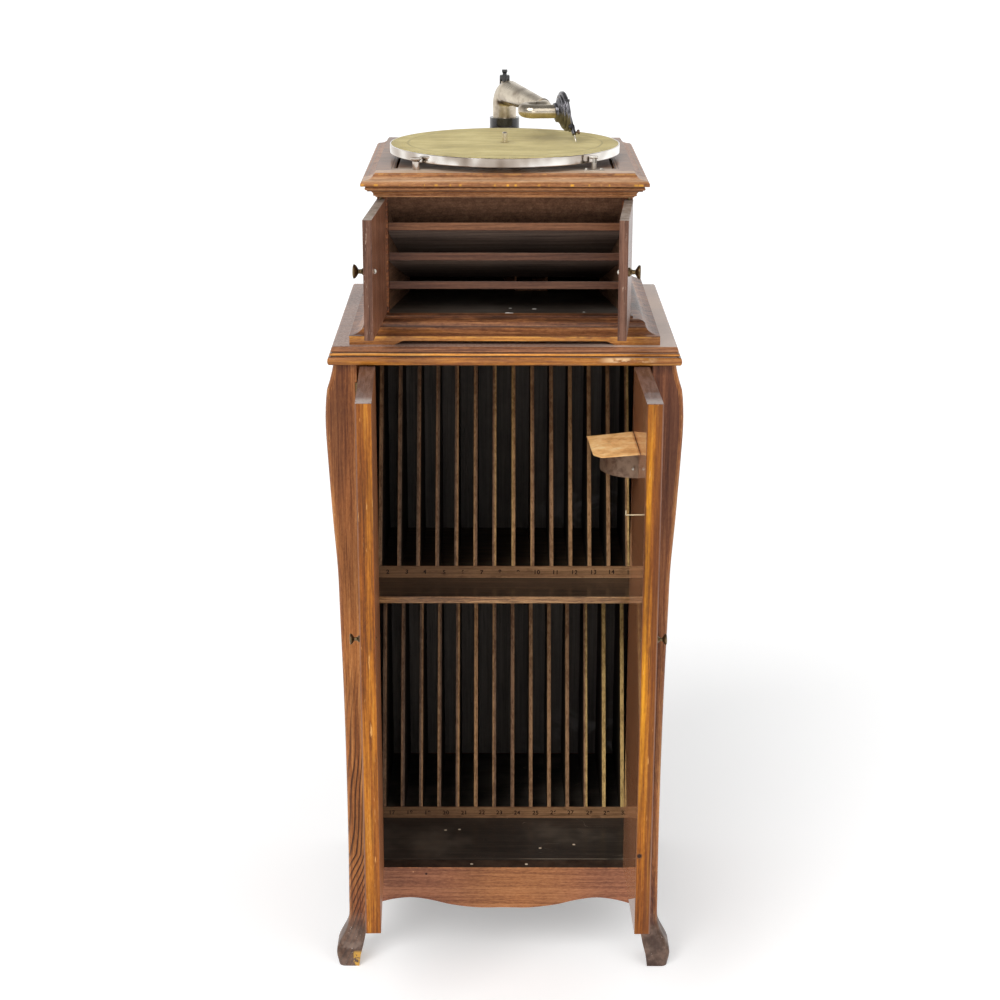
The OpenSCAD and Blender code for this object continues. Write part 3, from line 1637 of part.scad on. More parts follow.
module needle() {
    color("#d9d6cc")
        at_face()
            rotate([-needle_angle, 0, 0])
                translate([box_t + NEEDLE_OUT, 0, -needle_tip]) {
                    cylinder(r1 = 0.15, r2 = needle_r, h = 4, $fn = 24);
                    translate([0, 0, 4])
                        cylinder(r = needle_r, h = needle_tip - needle_root + 3, $fn = 24);
                }
}

module needle_screw() {
    color("#5a5046")
        at_face()
            rotate([-needle_angle, 0, 0])
                translate([box_t + NEEDLE_OUT, 0, 3 - needle_root])
                    rotate([0, 90, 0]) {
                        translate([0, 0, needle_r + 0.3])
                            cylinder(r = 1.2, h = chuck_r + 2);
                        translate([0, 0, needle_r + 0.3 + chuck_r + 1])
                            cylinder(r = 3, h = 2.6);
                    }
}

cabinet_top();
cabinet_sides();
cabinet_back();
cabinet_floor();
record_shelf();
front_left_leg();
front_right_leg();
rear_legs();
front_apron();
lower_rails();
upper_dividers();
lower_dividers();
number_strips();
left_door();
right_door();
left_door_knob();
right_door_knob();
cabinet_hinges();
left_door_leaves();
right_door_leaves();
needle_tray();
paper_envelope();
wire_hook();
case_base();
case_left_side();
case_right_side();
case_back();
case_cornice();
motor_board();
horn_floor();
horn_boards();
horn_slats();
horn_throat();
left_flap();
right_flap();
left_flap_knob();
right_flap_knob();
flap_pivots();
turntable();
turntable_felt();
spindle();
motor_frame();
deck_screws();
spring_barrel();
mainspring();
barrel_arbor();
intermediate_shaft();
governor();
winding_shaft();
crank_escutcheon();
speed_regulator();
brake_plate();
brake_lever();
tonearm_bracket();
top_screw();
tonearm();
gooseneck();
soundbox();
needle();
needle_screw();
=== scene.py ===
import math
import random

import bmesh
import bpy
from mathutils import Matrix, Vector


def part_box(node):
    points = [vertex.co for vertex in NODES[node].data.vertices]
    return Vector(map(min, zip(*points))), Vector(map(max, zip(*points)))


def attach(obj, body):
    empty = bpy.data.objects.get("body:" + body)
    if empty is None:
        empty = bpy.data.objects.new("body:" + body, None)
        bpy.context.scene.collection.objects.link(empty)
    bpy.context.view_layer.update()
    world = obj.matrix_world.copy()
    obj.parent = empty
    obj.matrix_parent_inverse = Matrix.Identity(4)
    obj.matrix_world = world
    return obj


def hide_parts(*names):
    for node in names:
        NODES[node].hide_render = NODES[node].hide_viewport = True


# A table gramophone on its record cabinet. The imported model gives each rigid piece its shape. This
# script gives those pieces their finish and adds the felt, the paper packet and small trim.
# X is right, Y back, Z up, all in metres.

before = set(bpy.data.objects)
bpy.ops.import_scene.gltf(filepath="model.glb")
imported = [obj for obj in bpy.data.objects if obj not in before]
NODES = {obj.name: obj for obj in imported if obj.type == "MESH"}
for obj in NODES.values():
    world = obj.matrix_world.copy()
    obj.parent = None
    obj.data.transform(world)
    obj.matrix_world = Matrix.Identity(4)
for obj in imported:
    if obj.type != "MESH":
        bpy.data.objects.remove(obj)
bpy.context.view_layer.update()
MM = 0.001


# ---------------------------------------------------------------- colours and node graphs

def srgb(r, g, b):
    """A colour given as 0 to 255 screen values, in the scene's linear values."""
    return tuple((c / 12.92 if c <= 0.04045 else ((c + 0.055) / 1.055) ** 2.4)
                 for c in (r / 255, g / 255, b / 255)) + (1.0,)


def shade(colour, by):
    return tuple(c * by for c in colour[:3]) + (1.0,)


class Graph:
    """One material's node graph, with short calls for the nodes used here."""

    def __init__(self, name, rough=0.5, metal=0.0, coat=0.0, coat_rough=0.1, specular=0.5, sheen=0.0):
        self.material = bpy.data.materials.new(name)
        self.material.use_nodes = True
        self.tree = self.material.node_tree
        self.shader = self.tree.nodes["Principled BSDF"]
        for socket, value in (("Roughness", rough), ("Metallic", metal), ("Coat Weight", coat),
                              ("Coat Roughness", coat_rough), ("Specular IOR Level", specular),
                              ("Sheen Weight", sheen)):
            self.shader.inputs[socket].default_value = value
        coord = self.tree.nodes.new("ShaderNodeTexCoord")
        self.place = coord.outputs["Object"]
        self.x, self.y, self.z = self.axes(self.place)
        self.nx, self.ny, self.nz = self.axes(coord.outputs["Normal"])

    def put(self, socket, value):
        if isinstance(value, bpy.types.NodeSocket):
            self.tree.links.new(value, socket)
        else:
            socket.default_value = value

    def math(self, operation, a, b=0.5, c=0.5):
        node = self.tree.nodes.new("ShaderNodeMath")
        node.operation = operation
        for socket, value in zip(node.inputs, (a, b, c)):
            self.put(socket, value)
        return node.outputs[0]

    def total(self, *values):
        out = values[0]
        for value in values[1:]:
            out = self.math("ADD", out, value)
        return out

    def times(self, *values):
        out = values[0]
        for value in values[1:]:
            out = self.math("MULTIPLY", out, value)
        return out

    def scaled(self, value, by, shift=0.0):
        return self.math("MULTIPLY_ADD", value, by, shift)

    def minus(self, a, b):
        return self.math("SUBTRACT", a, b)

    def size(self, value):
        """The value without its sign."""
        return self.math("ABSOLUTE", value)

    def length(self, a, b):
        """The long side of a right triangle with the sides a and b."""
        return self.math("SQRT", self.total(self.times(a, a), self.times(b, b)))

    def axes(self, vector):
        node = self.tree.nodes.new("ShaderNodeSeparateXYZ")
        self.put(node.inputs[0], vector)
        return node.outputs[0], node.outputs[1], node.outputs[2]

    def vector(self, x, y, z):
        node = self.tree.nodes.new("ShaderNodeCombineXYZ")
        for socket, value in zip(node.inputs, (x, y, z)):
            self.put(socket, value)
        return node.outputs[0]

    def noise(self, vector, scale=1.0, detail=2.0, rough=0.5, distort=0.0):
        node = self.tree.nodes.new("ShaderNodeTexNoise")
        for key, value in (("Vector", vector), ("Scale", scale), ("Detail", detail), ("Roughness", rough),
                           ("Distortion", distort)):
            self.put(node.inputs[key], value)
        return node.outputs["Fac"]

    def chance(self, value):
        """A random number that stays the same wherever the value is the same."""
        node = self.tree.nodes.new("ShaderNodeTexWhiteNoise")
        node.noise_dimensions = "1D"
        self.put(node.inputs["W"], value)
        return node.outputs["Value"]

    def step(self, value, low, high, to_low=0.0, to_high=1.0):
        """Value carried from low..high to to_low..to_high, smoothly and clamped."""
        node = self.tree.nodes.new("ShaderNodeMapRange")
        node.interpolation_type = "SMOOTHSTEP"
        for socket, number in zip(node.inputs, (value, low, high, to_low, to_high)):
            self.put(socket, number)
        return node.outputs[0]

    def band(self, value, low, high, soft=0.5 * MM):
        """1 between low and high, fading out over soft at each end."""
        return self.times(self.step(value, low - soft, low + soft),
                          self.step(value, high + soft, high - soft))

    def ramp(self, value, stops):
        node = self.tree.nodes.new("ShaderNodeValToRGB")
        points = node.color_ramp.elements
        while len(points) < len(stops):
            points.new(0.5)
        for point, (at, colour) in zip(points, stops):
            point.position = at
            point.color = colour if len(colour) == 4 else tuple(colour) + (1.0,)
        self.put(node.inputs[0], value)
        return node.outputs[0]

    def mix(self, share, a, b, mode="MIX"):
        node = self.tree.nodes.new("ShaderNodeMix")
        node.data_type = "RGBA"
        node.blend_type = mode
        self.put(node.inputs["Factor"], share)
        self.put(node.inputs[6], a)
        self.put(node.inputs[7], b)
        return node.outputs[2]

    def finish(self, colour, rough=None, height=None, depth=0.3 * MM):
        """Links the colour, the roughness and a relief of that depth to the shader."""
        self.put(self.shader.inputs["Base Color"], colour)
        if rough is not None:
            self.put(self.shader.inputs["Roughness"], rough)
        if height is not None:
            node = self.tree.nodes.new("ShaderNodeBump")
            node.inputs["Distance"].default_value = depth
            self.put(node.inputs["Height"], height)
            self.tree.links.new(node.outputs[0], self.shader.inputs["Normal"])
        return self.material


def dress(node, material):
    slots = NODES[node].data.materials
    slots.clear()
    slots.append(material)


def soften(node, width):
    """Joins the imported mesh's split corners and rounds its sharp edges a little."""
    piece = NODES[node]
    weld = piece.modifiers.new("weld", "WELD")
    weld.merge_threshold = 0.01 * MM
    bevel = piece.modifiers.new("round", "BEVEL")
    bevel.width = width
    bevel.segments = 2
    bevel.limit_method = "ANGLE"
    bevel.angle_limit = math.radians(38)
    bevel.harden_normals = True


# ---------------------------------------------------------------- wood

# Tones of the wood, each as its dark, middle and pale parts
RED = (srgb(88, 46, 26), srgb(134, 78, 44), srgb(172, 112, 66))
# Red wood in painted shade, for the right leg
SHADED_RED = (srgb(66, 36, 27), srgb(100, 58, 42), srgb(134, 84, 60))
FLAME = (srgb(128, 72, 32), srgb(176, 112, 58), srgb(206, 144, 84))
ORANGE = (srgb(122, 72, 32), srgb(166, 104, 48), srgb(196, 134, 70))
GOLD = (srgb(130, 76, 28), srgb(180, 114, 42), srgb(214, 150, 68))
BROWN = (srgb(78, 50, 35), srgb(106, 71, 49), srgb(132, 93, 65))
# Black boards written paler than black, as painted light in the cabinet's deep shade
BLACK_PAINTED_LIGHTER = (srgb(102, 95, 89), srgb(118, 109, 102), srgb(132, 123, 114))

RELIEF = 0.22 * MM
HEART_SWAY = 0.06   # how far the growth rings' centre wanders sideways


class Oak(Graph):
    """Varnished oak: broad and fine streaks along the grain, darker growth lines, pores and cloudy tone.
    It is named after the node that it is for. A piece adds its own wear, and any painted light and shade,
    before done()."""

    def __init__(self, name, tones=RED, grain="z", seed=0, figure=0.2, ring=5.5 * MM, tilt=0.05, rough=0.5,
                 coat=0.35, coat_rough=0.12, fleck=0.2):
        super().__init__(name, coat=coat, coat_rough=coat_rough, specular=0.12)
        self.low, self.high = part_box(name)
        pick = random.Random(seed * 7 + 1)
        x, y, z = self.x, self.y, self.z
        self.grain = {"z": (x, y, z), "x": (y, z, x), "y": (x, z, y)}[grain]
        side, behind, along = self.grain
        shift = [pick.uniform(-3, 3) for _ in range(4)]

        # The growth rings lie round a heart line that wanders and leans behind the face
        drift = self.streaks(7, 1.5, shift[:3], detail=3)
        sideways = pick.uniform(-0.03, 0.03) - HEART_SWAY / 2
        lean = tilt * pick.choice((-1, 1))
        heart = pick.uniform(0.03, 0.07)
        radius = self.length(self.total(side, self.scaled(drift, HEART_SWAY, sideways)),
                             self.total(behind, self.scaled(along, lean, heart)))
        self.lines = self.rings(radius, ring)

        broad = self.streaks(120, 2.6, (0.0, 0.0, shift[0]), detail=5, rough=0.62)
        thin = self.streaks(430, 9, (0.0, 0.0, shift[1]), detail=4, rough=0.68)
        spots = self.streaks(420, 130, (shift[2], 0.0, 0.0), detail=4, rough=0.72)
        self.fibre = self.total(self.times(broad, 0.62 - fleck), self.times(thin, 0.38),
                                self.times(spots, fleck))
        fine = self.streaks(760, 20, (0.0, 0.0, shift[3]))
        self.pores = self.times(self.step(fine, 0.56, 0.7), self.step(self.lines, 0.0, 1.0, 0.5, 1.0))
        self.cloud = self.noise(self.place, scale=8.0, detail=4)
        self.figure = figure
        self.rough = rough
        self.relief_share = None   # how much of the relief shows, where that isn't all of it
        self.colour = self.toned(tones)

    def streaks(self, across, along, shifts=(0.0, 0.0, 0.0), detail=2, rough=0.5):
        """Noise drawn out along the grain, with that many waves in a metre across and along it."""
        counts = (across, across, along)
        place = [self.scaled(axis, count, shift) for axis, count, shift in zip(self.grain, counts, shifts)]
        return self.noise(self.vector(*place), detail=detail, rough=rough)

    def rings(self, distance, ring):
        """A dark line, sharp on its outer side, at each ring of the distance."""
        turn = self.math("FRACT", self.math("DIVIDE", distance, ring))
        return self.times(self.step(turn, 0.4, 0.85), self.step(turn, 1.0, 0.92))

    def toned(self, three):
        """The wood's own pattern in three tones."""
        deep, middle, pale = three
        base = self.ramp(self.fibre, [(0.40, deep), (0.5, middle), (0.6, pale)])
        base = self.mix(self.times(self.lines, self.figure), base, shade(deep, 0.6))
        return self.mix(self.times(self.pores, 0.42), base, shade(deep, 0.5))

    def over(self, share, colour, mode="MIX"):
        """Lays a colour over what is there, by that share."""
        self.colour = self.mix(share, self.colour, colour, mode)

    def facing_front(self, low=0.55, high=0.85):
        return self.step(self.times(self.ny, -1), low, high)

    def facing_up(self, low=0.8, high=0.95):
        return self.step(self.nz, low, high)

    def facing_side(self, side, low=0.7, high=0.95):
        """1 on faces that look to the left (side -1) or the right (side 1)."""
        return self.step(self.times(self.nx, side), low, high)

    def moulded(self, flat=0.97, turned=0.8):
        """1 on faces that look neither up nor down, such as a moulding's."""
        return self.step(self.size(self.nz), flat, turned)

    def layer(self, low, high, soft=0.5 * MM):
        """1 between two heights, which are given in millimetres over the piece's underside."""
        return self.band(self.z, self.low.z + low * MM, self.low.z + high * MM, soft)

    def flecks(self, scale, low, high, stretch=(1, 1, 1), detail=3):
        """Scattered spots, for chips, dust and worn places, and for painted highlights and reflections."""
        place = [self.scaled(axis, count) for axis, count in zip((self.x, self.y, self.z), stretch)]
        return self.step(self.noise(self.vector(*place), scale=scale, detail=detail, rough=0.65), low, high)

    def spot(self, across, other, radius, flat=False, soft=0.4 * MM):
        """A dot of that radius at (x, z) on an upright face or, where flat, at (x, y)."""
        away = self.length(self.minus(self.x, across), self.minus(self.y if flat else self.z, other))
        return self.step(away, radius + soft, radius - soft)

    def dashes(self, pitch, share, longest):
        """Short worn dashes along X, one at most to each pitch, of chance lengths and places."""
        cell = self.math("ROUND", self.math("DIVIDE", self.x, pitch))
        stray = self.scaled(self.chance(self.total(cell, 7.3)), pitch * 0.6, -0.3 * pitch)
        half = self.scaled(self.chance(self.total(cell, 3.1)), longest, -longest * (1 - share))
        away = self.size(self.minus(self.x, self.total(self.times(cell, pitch), stray)))
        worn = self.scaled(self.chance(self.total(cell, 5.7)), 0.7, 0.3)
        return self.times(self.step(self.minus(half, away), -0.8 * MM, 1.2 * MM), worn)

    def done(self, *nodes, bevel=0.7 * MM):
        """Adds the clouds, the roughness and the relief, and dresses the nodes."""
        clouds = self.ramp(self.cloud, [(0.3, (0.78, 0.77, 0.77)), (0.5, (1, 1, 1)),
                                        (0.7, (1.16, 1.14, 1.1))])
        self.over(1.0, clouds, "MULTIPLY")
        roughness = self.total(self.rough - 0.08, self.times(self.fibre, 0.14), self.times(self.pores, 0.22))
        height = self.total(self.times(self.pores, -0.8), self.times(self.lines, -0.25),
                            self.times(self.fibre, 0.6))
        if self.relief_share is not None:
            height = self.times(height, self.relief_share)
        material = self.finish(self.colour, roughness, height, depth=RELIEF)
        for node in nodes:
            dress(node, material)
            if bevel:
                soften(node, bevel)


# Cabinet top: its flat is painted pale, with dust and a painted reflection, and paler still at the right as a
# painted glare.
# The beads of its edge have worn to gold, and its grooves are painted dark as painted shade
w = Oak("cabinet_top", grain="x", seed=1, coat=0.45, coat_rough=0.2)
flat = w.facing_up(0.9, 0.99)
rim = w.moulded()
low_bead, groove, high_bead, high_groove = (0.0, 10.4), (10.4, 11.8), (11.6, 15.4), (15.3, 16.4)
chip, chip_x = (4.5, 10.2), (0.128, 0.186)
streaks = w.flecks(1.0, 0.34, 0.6, (12, 12, 110), detail=4)
# Painted pale on the flat: dust and a painted reflection, and a painted glare towards the right
w.over(w.times(flat, 0.72),
       w.ramp(w.flecks(300, 0.35, 0.65), [(0, srgb(146, 122, 110)), (1, srgb(184, 162, 150))]))
w.over(w.times(flat, w.step(w.x, 0.04, 0.19), 0.75), srgb(222, 202, 188))
w.over(w.times(rim, w.step(w.z, w.low.z + 16.2 * MM, w.low.z + 16.8 * MM), 0.8),
       w.toned((srgb(104, 62, 38), srgb(158, 104, 66), srgb(190, 134, 90))))
w.over(w.times(rim, w.layer(*low_bead), w.scaled(streaks, 0.6, 0.4)), w.toned(GOLD))
w.over(w.times(rim, w.layer(*high_bead), w.scaled(streaks, 0.25, 0.75)),
       w.toned((srgb(174, 108, 46), srgb(234, 160, 72), srgb(250, 196, 112))))
# Painted shade in the grooves between the beads
w.over(w.times(rim, w.layer(*groove, 0.3 * MM), 0.85), srgb(52, 34, 25))
w.over(w.times(rim, w.layer(*high_groove, 0.3 * MM), 0.85), srgb(48, 31, 23))
w.over(w.times(rim, w.layer(*chip), w.band(w.x, *chip_x, 0.012), w.flecks(120, 0.4, 0.55, (0.4, 1, 1))),
       srgb(226, 186, 138))
corner = w.step(w.size(w.x), w.high.x - 7.5 * MM, w.high.x - 5.5 * MM)
w.over(w.times(corner, w.step(w.nz, 0.5, 0.9), w.flecks(380, 0.42, 0.52), 0.75), srgb(58, 40, 34))
w.done("cabinet_top")

# Legs: arched figure, strong low down on the left one, a worn outer edge, and dusty, scuffed feet. The right
# leg's darker tones are painted shade
LEG_INNER = 0.188   # about where the front legs' inner sides lie, left and right
PER_LEG = 34.0      # about this many leg widths make a metre
KNEE = 0.17         # the arches stretch out above this height
for side, name in ((-1, "front_left_leg"), (1, "front_right_leg"), (0, "rear_legs")):
    # The right leg takes darker tones as painted shade
    w = Oak(name, tones=SHADED_RED if side == 1 else RED, seed=21 + side, figure=0.0, tilt=0.07, coat=0.26,
            coat_rough=0.18)
    outer = w.scaled(w.size(w.x), PER_LEG, -PER_LEG * LEG_INNER)
    over_knee = w.math("MAXIMUM", w.scaled(w.z, 1.0, -KNEE), 0.0)
    climb = w.total(w.math("MINIMUM", w.z, KNEE), w.scaled(over_knee, 0.24))
    bend = w.noise(w.vector(w.scaled(w.x, 20), w.scaled(w.y, 20), w.scaled(w.z, 7, side)), detail=1)
    arch = w.scaled(w.math("SQRT", w.math("MAXIMUM", outer, 0.0)), 0.105)
    sweep = w.total(climb, arch, w.scaled(bend, 0.05), w.scaled(w.y, 0.3), w.scaled(w.fibre, 0.0012))
    arches = w.times(w.rings(sweep, 16.5 * MM), w.step(bend, 0.3, 0.5, 0.6, 1.0))
    strength = w.step(w.z, 0.5, 0.26, 0.1, 1.0 if side < 1 else 0.4)
    pattern = w.toned(FLAME if side == -1 else RED)
    w.over(w.times(w.step(w.z, 0.78, 0.5, 0.25, 0.9), w.step(w.z, 0.09, 0.16)), pattern)
    w.lines = w.times(arches, strength)
    w.over(w.lines, srgb(60, 32, 18))
    if side:
        shoulder = w.times(w.step(w.times(w.x, side), 0.202, 0.216), w.step(w.z, 0.6, 0.74))
        w.over(w.times(shoulder, 0.4), srgb(70, 40, 29))
        outward = w.facing_side(side, 0.25, 0.7)
        w.over(w.times(outward, w.step(w.flecks(1.0, 0.3, 0.7, (14, 14, 3)), 0.2, 0.8, 0.35, 0.9)),
               w.toned((srgb(120, 66, 32), srgb(176, 108, 54), srgb(208, 148, 84))))
        chips = w.flecks(1.0, 0.52, 0.62, (420, 420, 90))
        w.over(w.times(w.facing_side(side, 0.55, 0.95), chips, 0.45), srgb(60, 36, 24))
        w.over(w.times(outward, w.flecks(1.0, 0.6, 0.68, (300, 300, 60)), 0.5), srgb(220, 168, 98))
    foot = w.step(w.z, 0.088, 0.05)
    w.over(w.times(foot, 0.88),
           w.ramp(w.flecks(60, 0.3, 0.7), [(0, srgb(64, 51, 45)), (1, srgb(114, 95, 84))]))
    w.over(w.times(foot, w.flecks(210, 0.66, 0.7), 0.6), srgb(196, 186, 176))
    w.over(w.times(w.layer(26, 36, 2 * MM), foot, w.flecks(30, 0.4, 0.6), 0.4), srgb(150, 132, 120))
    if side == -1:
        broken = w.times(w.step(w.z, 0.025, 0.019), w.step(w.x, -0.2115, -0.2075))
        w.over(w.times(broken, w.flecks(220, 0.42, 0.5)), srgb(206, 158, 72))
    w.done(name, bevel=0)

for name, grain, seed in (("cabinet_sides", "z", 31), ("lower_rails", "x", 32), ("case_left_side", "y", 33),
                          ("case_right_side", "y", 34), ("case_back", "x", 35)):
    Oak(name, grain=grain, seed=seed, figure=0.5, ring=7 * MM, coat=0.4, coat_rough=0.18).done(name)

# Apron: fine level grain, brighter in its middle, dark and chipped on its top edge
w = Oak("front_apron", tones=(srgb(104, 60, 42), srgb(140, 88, 62), srgb(168, 112, 80)), grain="x", seed=41,
        figure=0.12, tilt=0.03, coat=0.3, coat_rough=0.2, fleck=0.34)
w.over(w.times(w.step(w.size(w.minus(w.x, 0.02)), 0.13, 0.02), 0.55),
       w.toned((srgb(128, 78, 42), srgb(168, 110, 60), srgb(190, 132, 78))))
top = w.facing_up(0.6, 0.9)
w.over(w.times(top, 0.93), w.ramp(w.flecks(40, 0.3, 0.7), [(0, srgb(40, 35, 31)), (1, srgb(72, 62, 54))]))
for x, y in ((-0.0441, -0.0925), (0.032, -0.0928)):
    w.over(w.times(top, w.spot(x, y, 2.1 * MM, flat=True)), srgb(240, 226, 200))
w.over(w.spot(-0.107, 0.140, 1.7 * MM), srgb(52, 28, 22))
w.over(w.times(w.spot(-0.125, 0.143, 0.9 * MM), 0.8), srgb(226, 170, 120))
top_edge = w.times(w.facing_front(0.8, 0.95), w.step(w.z, w.high.z - 2 * MM, w.high.z - 1 * MM))
w.over(w.times(top_edge, w.flecks(1.0, 0.45, 0.6, (90, 90, 20)), 0.6), srgb(206, 134, 84))
w.done("front_apron")

# Back boards: black to the front but written paler as painted light in their deep shade, with folds low on
# the right over each floor that are dust with a painted sheen, and brown behind
w = Oak("cabinet_back", tones=BLACK_PAINTED_LIGHTER, seed=42, figure=0.0, rough=0.7, coat=0.0)
# Pale folds low on the right: dust with a painted sheen
for floor_z in (0.152, 0.524):
    fold = w.noise(w.vector(w.scaled(w.x, 16), 0.0, w.scaled(w.z, 26)), detail=3, distort=1.5)
    w.over(w.times(w.facing_front(), w.step(w.x, 0.0, 0.16), w.step(w.z, floor_z + 0.11, floor_z + 0.01),
                   w.step(w.z, floor_z, floor_z + 4 * MM), w.step(fold, 0.47, 0.62), 0.35),
           srgb(200, 198, 196))
w.over(w.step(w.ny, 0.6, 0.9), w.toned((srgb(70, 48, 34), srgb(98, 69, 49), srgb(122, 90, 66))))
w.done("cabinet_back")

# Floor: black and dusty, with scratches and specks, and a worn line along its front
w = Oak("cabinet_floor", tones=(srgb(50, 46, 42), srgb(60, 54, 49), srgb(74, 66, 59)), grain="x", seed=43,
        figure=0.1, coat=0.35, coat_rough=0.2)
w.over(w.times(w.flecks(9, 0.42, 0.7), 0.5), srgb(116, 106, 94))
w.over(w.times(w.flecks(420, 0.71, 0.74), 0.8), srgb(196, 180, 160))
scratch = w.noise(w.vector(w.scaled(w.x, 11), w.scaled(w.y, 23), 0.0), detail=1)
w.over(w.times(w.band(scratch, 0.5, 0.502, 0.0012), w.flecks(30, 0.5, 0.6), w.step(w.x, -0.02, 0.04), 0.7),
       srgb(186, 172, 154))
front_line = w.band(w.y, w.low.y + 2.83 * MM, w.low.y + 3.83 * MM)
w.over(w.times(front_line, w.step(w.x, 0.0, 0.06, 0.2, 1.0), w.flecks(14, 0.3, 0.5), 0.8),
       srgb(206, 190, 166))
for x, y in ((0.052, -0.045), (0.1, -0.034), (-0.063, 0.012), (-0.083, 0.01)):
    w.over(w.spot(x, y, 2 * MM, flat=True), srgb(232, 216, 190))
w.done("cabinet_floor")

w = Oak("record_shelf", tones=(srgb(62, 48, 38), srgb(78, 62, 48), srgb(98, 79, 61)), grain="x", seed=44,
        coat=0.5, coat_rough=0.12)
w.over(w.facing_front(), w.toned((srgb(104, 72, 44), srgb(160, 118, 78), srgb(196, 152, 104))))
w.over(w.times(w.facing_front(), w.flecks(1.0, 0.5, 0.6, (60, 60, 900)), 0.6), srgb(78, 54, 36))
w.done("record_shelf")

# Dividers: each has its own tone at its front edge, and all are painted paler to the right, as painted light
# and shade
DIVIDER_CELL = 26.667 * MM
for name, seed in (("upper_dividers", 51), ("lower_dividers", 53)):
    w = Oak(name, tones=(srgb(60, 52, 45), srgb(74, 63, 53), srgb(92, 78, 64)), seed=seed, figure=0.1,
            rough=0.6, coat=0.05)
    number = w.math("ROUND", w.math("DIVIDE", w.x, DIVIDER_CELL))
    lot = w.chance(w.total(number, seed + 0.37))
    # The step along X paints shade to the left and light to the right
    tone = w.ramp(w.total(w.scaled(lot, 0.55), w.step(w.x, -0.16, 0.17, -0.04, 0.42)),
                  [(0.0, srgb(112, 92, 76)), (0.3, srgb(152, 116, 86)), (0.6, srgb(184, 142, 98)),
                   (0.9, srgb(226, 192, 122))])
    tone = w.mix(w.times(w.step(w.fibre, 0.44, 0.58), 0.6), tone, shade(srgb(150, 130, 110), 0.8), "MULTIPLY")
    w.over(w.facing_front(), tone)
    w.done(name, bevel=0.4 * MM)

w = Oak("number_strips", tones=(srgb(130, 96, 68), srgb(162, 122, 86), srgb(188, 146, 106)), grain="x",
        seed=55, figure=0.1, rough=0.55, coat=0.1)
# Painted shade, darker towards the left
w.over(w.step(w.x, 0.12, -0.17, 0.0, 0.55), srgb(88, 68, 54))
w.over(w.times(w.flecks(1.0, 0.55, 0.68, (40, 40, 120)), 0.45), srgb(84, 60, 44))
w.done("number_strips", bevel=0.4 * MM)

# Doors: glossy inner faces, painted lighter than the wood as painted light, and free edges whose varnish has
# gone orange
# with dark streaks. For each door: its coat and the coat's roughness, its inner face's tones, which hold
# painted light, and the x of its free edge's inner side and outer corner
DOOR_LOOKS = {
    -1: (0.3, 0.15, (srgb(156, 100, 67), srgb(183, 122, 83), srgb(203, 142, 98)), -0.1572, -0.1779),
    1: (1.0, 0.035, (srgb(176, 116, 79), srgb(198, 135, 94), srgb(213, 150, 107)), 0.1688, 0.1883),
}
PLUG_X, PLUG_Z = 0.1731, 0.268
for side, name in ((-1, "left_door"), (1, "right_door")):
    coat, coat_rough, inner_tones_painted_light, inner_x, corner_x = DOOR_LOOKS[side]
    w = Oak(name, tones=(srgb(84, 48, 31), srgb(122, 76, 50), srgb(146, 96, 64)), seed=61 + side, coat=coat,
            coat_rough=coat_rough)
    inside = w.facing_side(-side)
    w.relief_share = w.scaled(inside, -0.85, 1.0)
    # The inner face is painted lighter, as painted light
    w.over(inside, w.toned(inner_tones_painted_light))
    w.over(w.times(inside, w.flecks(1.0, 0.66, 0.7, (300, 300, 90)), 0.5), srgb(214, 178, 140))
    free = w.facing_front(0.75, 0.9)
    streak = w.flecks(1.0, 0.43, 0.57, (95, 95, 3.4), detail=5)
    gold = w.mix(streak, w.toned((srgb(88, 44, 12), srgb(136, 74, 20), srgb(162, 96, 32))),
                 w.toned((srgb(130, 72, 16), srgb(176, 106, 26), srgb(204, 138, 48))))
    if side == 1:
        worn = w.times(w.band(w.x, 0.171, 0.1765, 2 * MM), w.step(w.z, 0.28, 0.5), w.step(w.z, 0.86, 0.76))
        gold = w.mix(w.times(worn, w.step(w.cloud, 0.4, 0.6, 0.5, 1.0)), gold,
                     w.toned((srgb(160, 98, 20), srgb(204, 134, 22), srgb(222, 156, 40))))
        gold = w.mix(w.times(w.step(w.x, 0.179, 0.183), 0.6), gold, srgb(104, 56, 28))
        w.put(w.shader.inputs["Coat Weight"], w.scaled(inside, 0.75, 0.25))
    w.over(free, gold)
    w.over(w.times(free, w.flecks(1.0, 0.6, 0.68, (190, 190, 7), detail=4), 0.7), srgb(84, 48, 26))
    w.over(w.times(free, w.flecks(1.0, 0.66, 0.7, (300, 300, 24)), 0.6), srgb(232, 170, 96))
    from_inner = w.minus(w.x, inner_x) if side < 0 else w.minus(inner_x, w.x)
    w.over(w.times(free, w.step(w.size(from_inner), 2.2 * MM, 0.8 * MM), 0.7), srgb(66, 38, 22))
    # A painted highlight along the free edge's outer corner
    from_corner = w.size(w.minus(w.x, corner_x))
    shine = w.times(w.step(from_corner, 1.2 * MM, 0.7 * MM), w.step(w.nz, 0.9, 0.5),
                    w.step(w.y, -0.285, -0.291))
    w.over(w.times(shine, w.step(w.fibre, 0.4, 0.56, 0.25, 0.6)), srgb(140, 106, 90))
    top = w.facing_up()
    w.over(w.times(top, 0.75),
           w.ramp(w.flecks(1.0, 0.4, 0.6, (260, 24, 1)), [(0, srgb(96, 70, 60)), (1, srgb(126, 100, 90))]))
    # A painted highlight at the front end of the top
    w.over(w.times(top, w.step(w.y, -0.258, -0.284), w.flecks(1.0, 0.3, 0.5, (90, 90, 1)), 0.62),
           srgb(190, 178, 172))
    if side == 1:
        w.over(w.times(free, w.spot(PLUG_X, PLUG_Z, 4.2 * MM)), srgb(120, 72, 32))
        w.over(w.times(free, w.spot(PLUG_X, PLUG_Z, 2.8 * MM)), srgb(44, 25, 18))
    w.done(name, bevel=1.2 * MM)
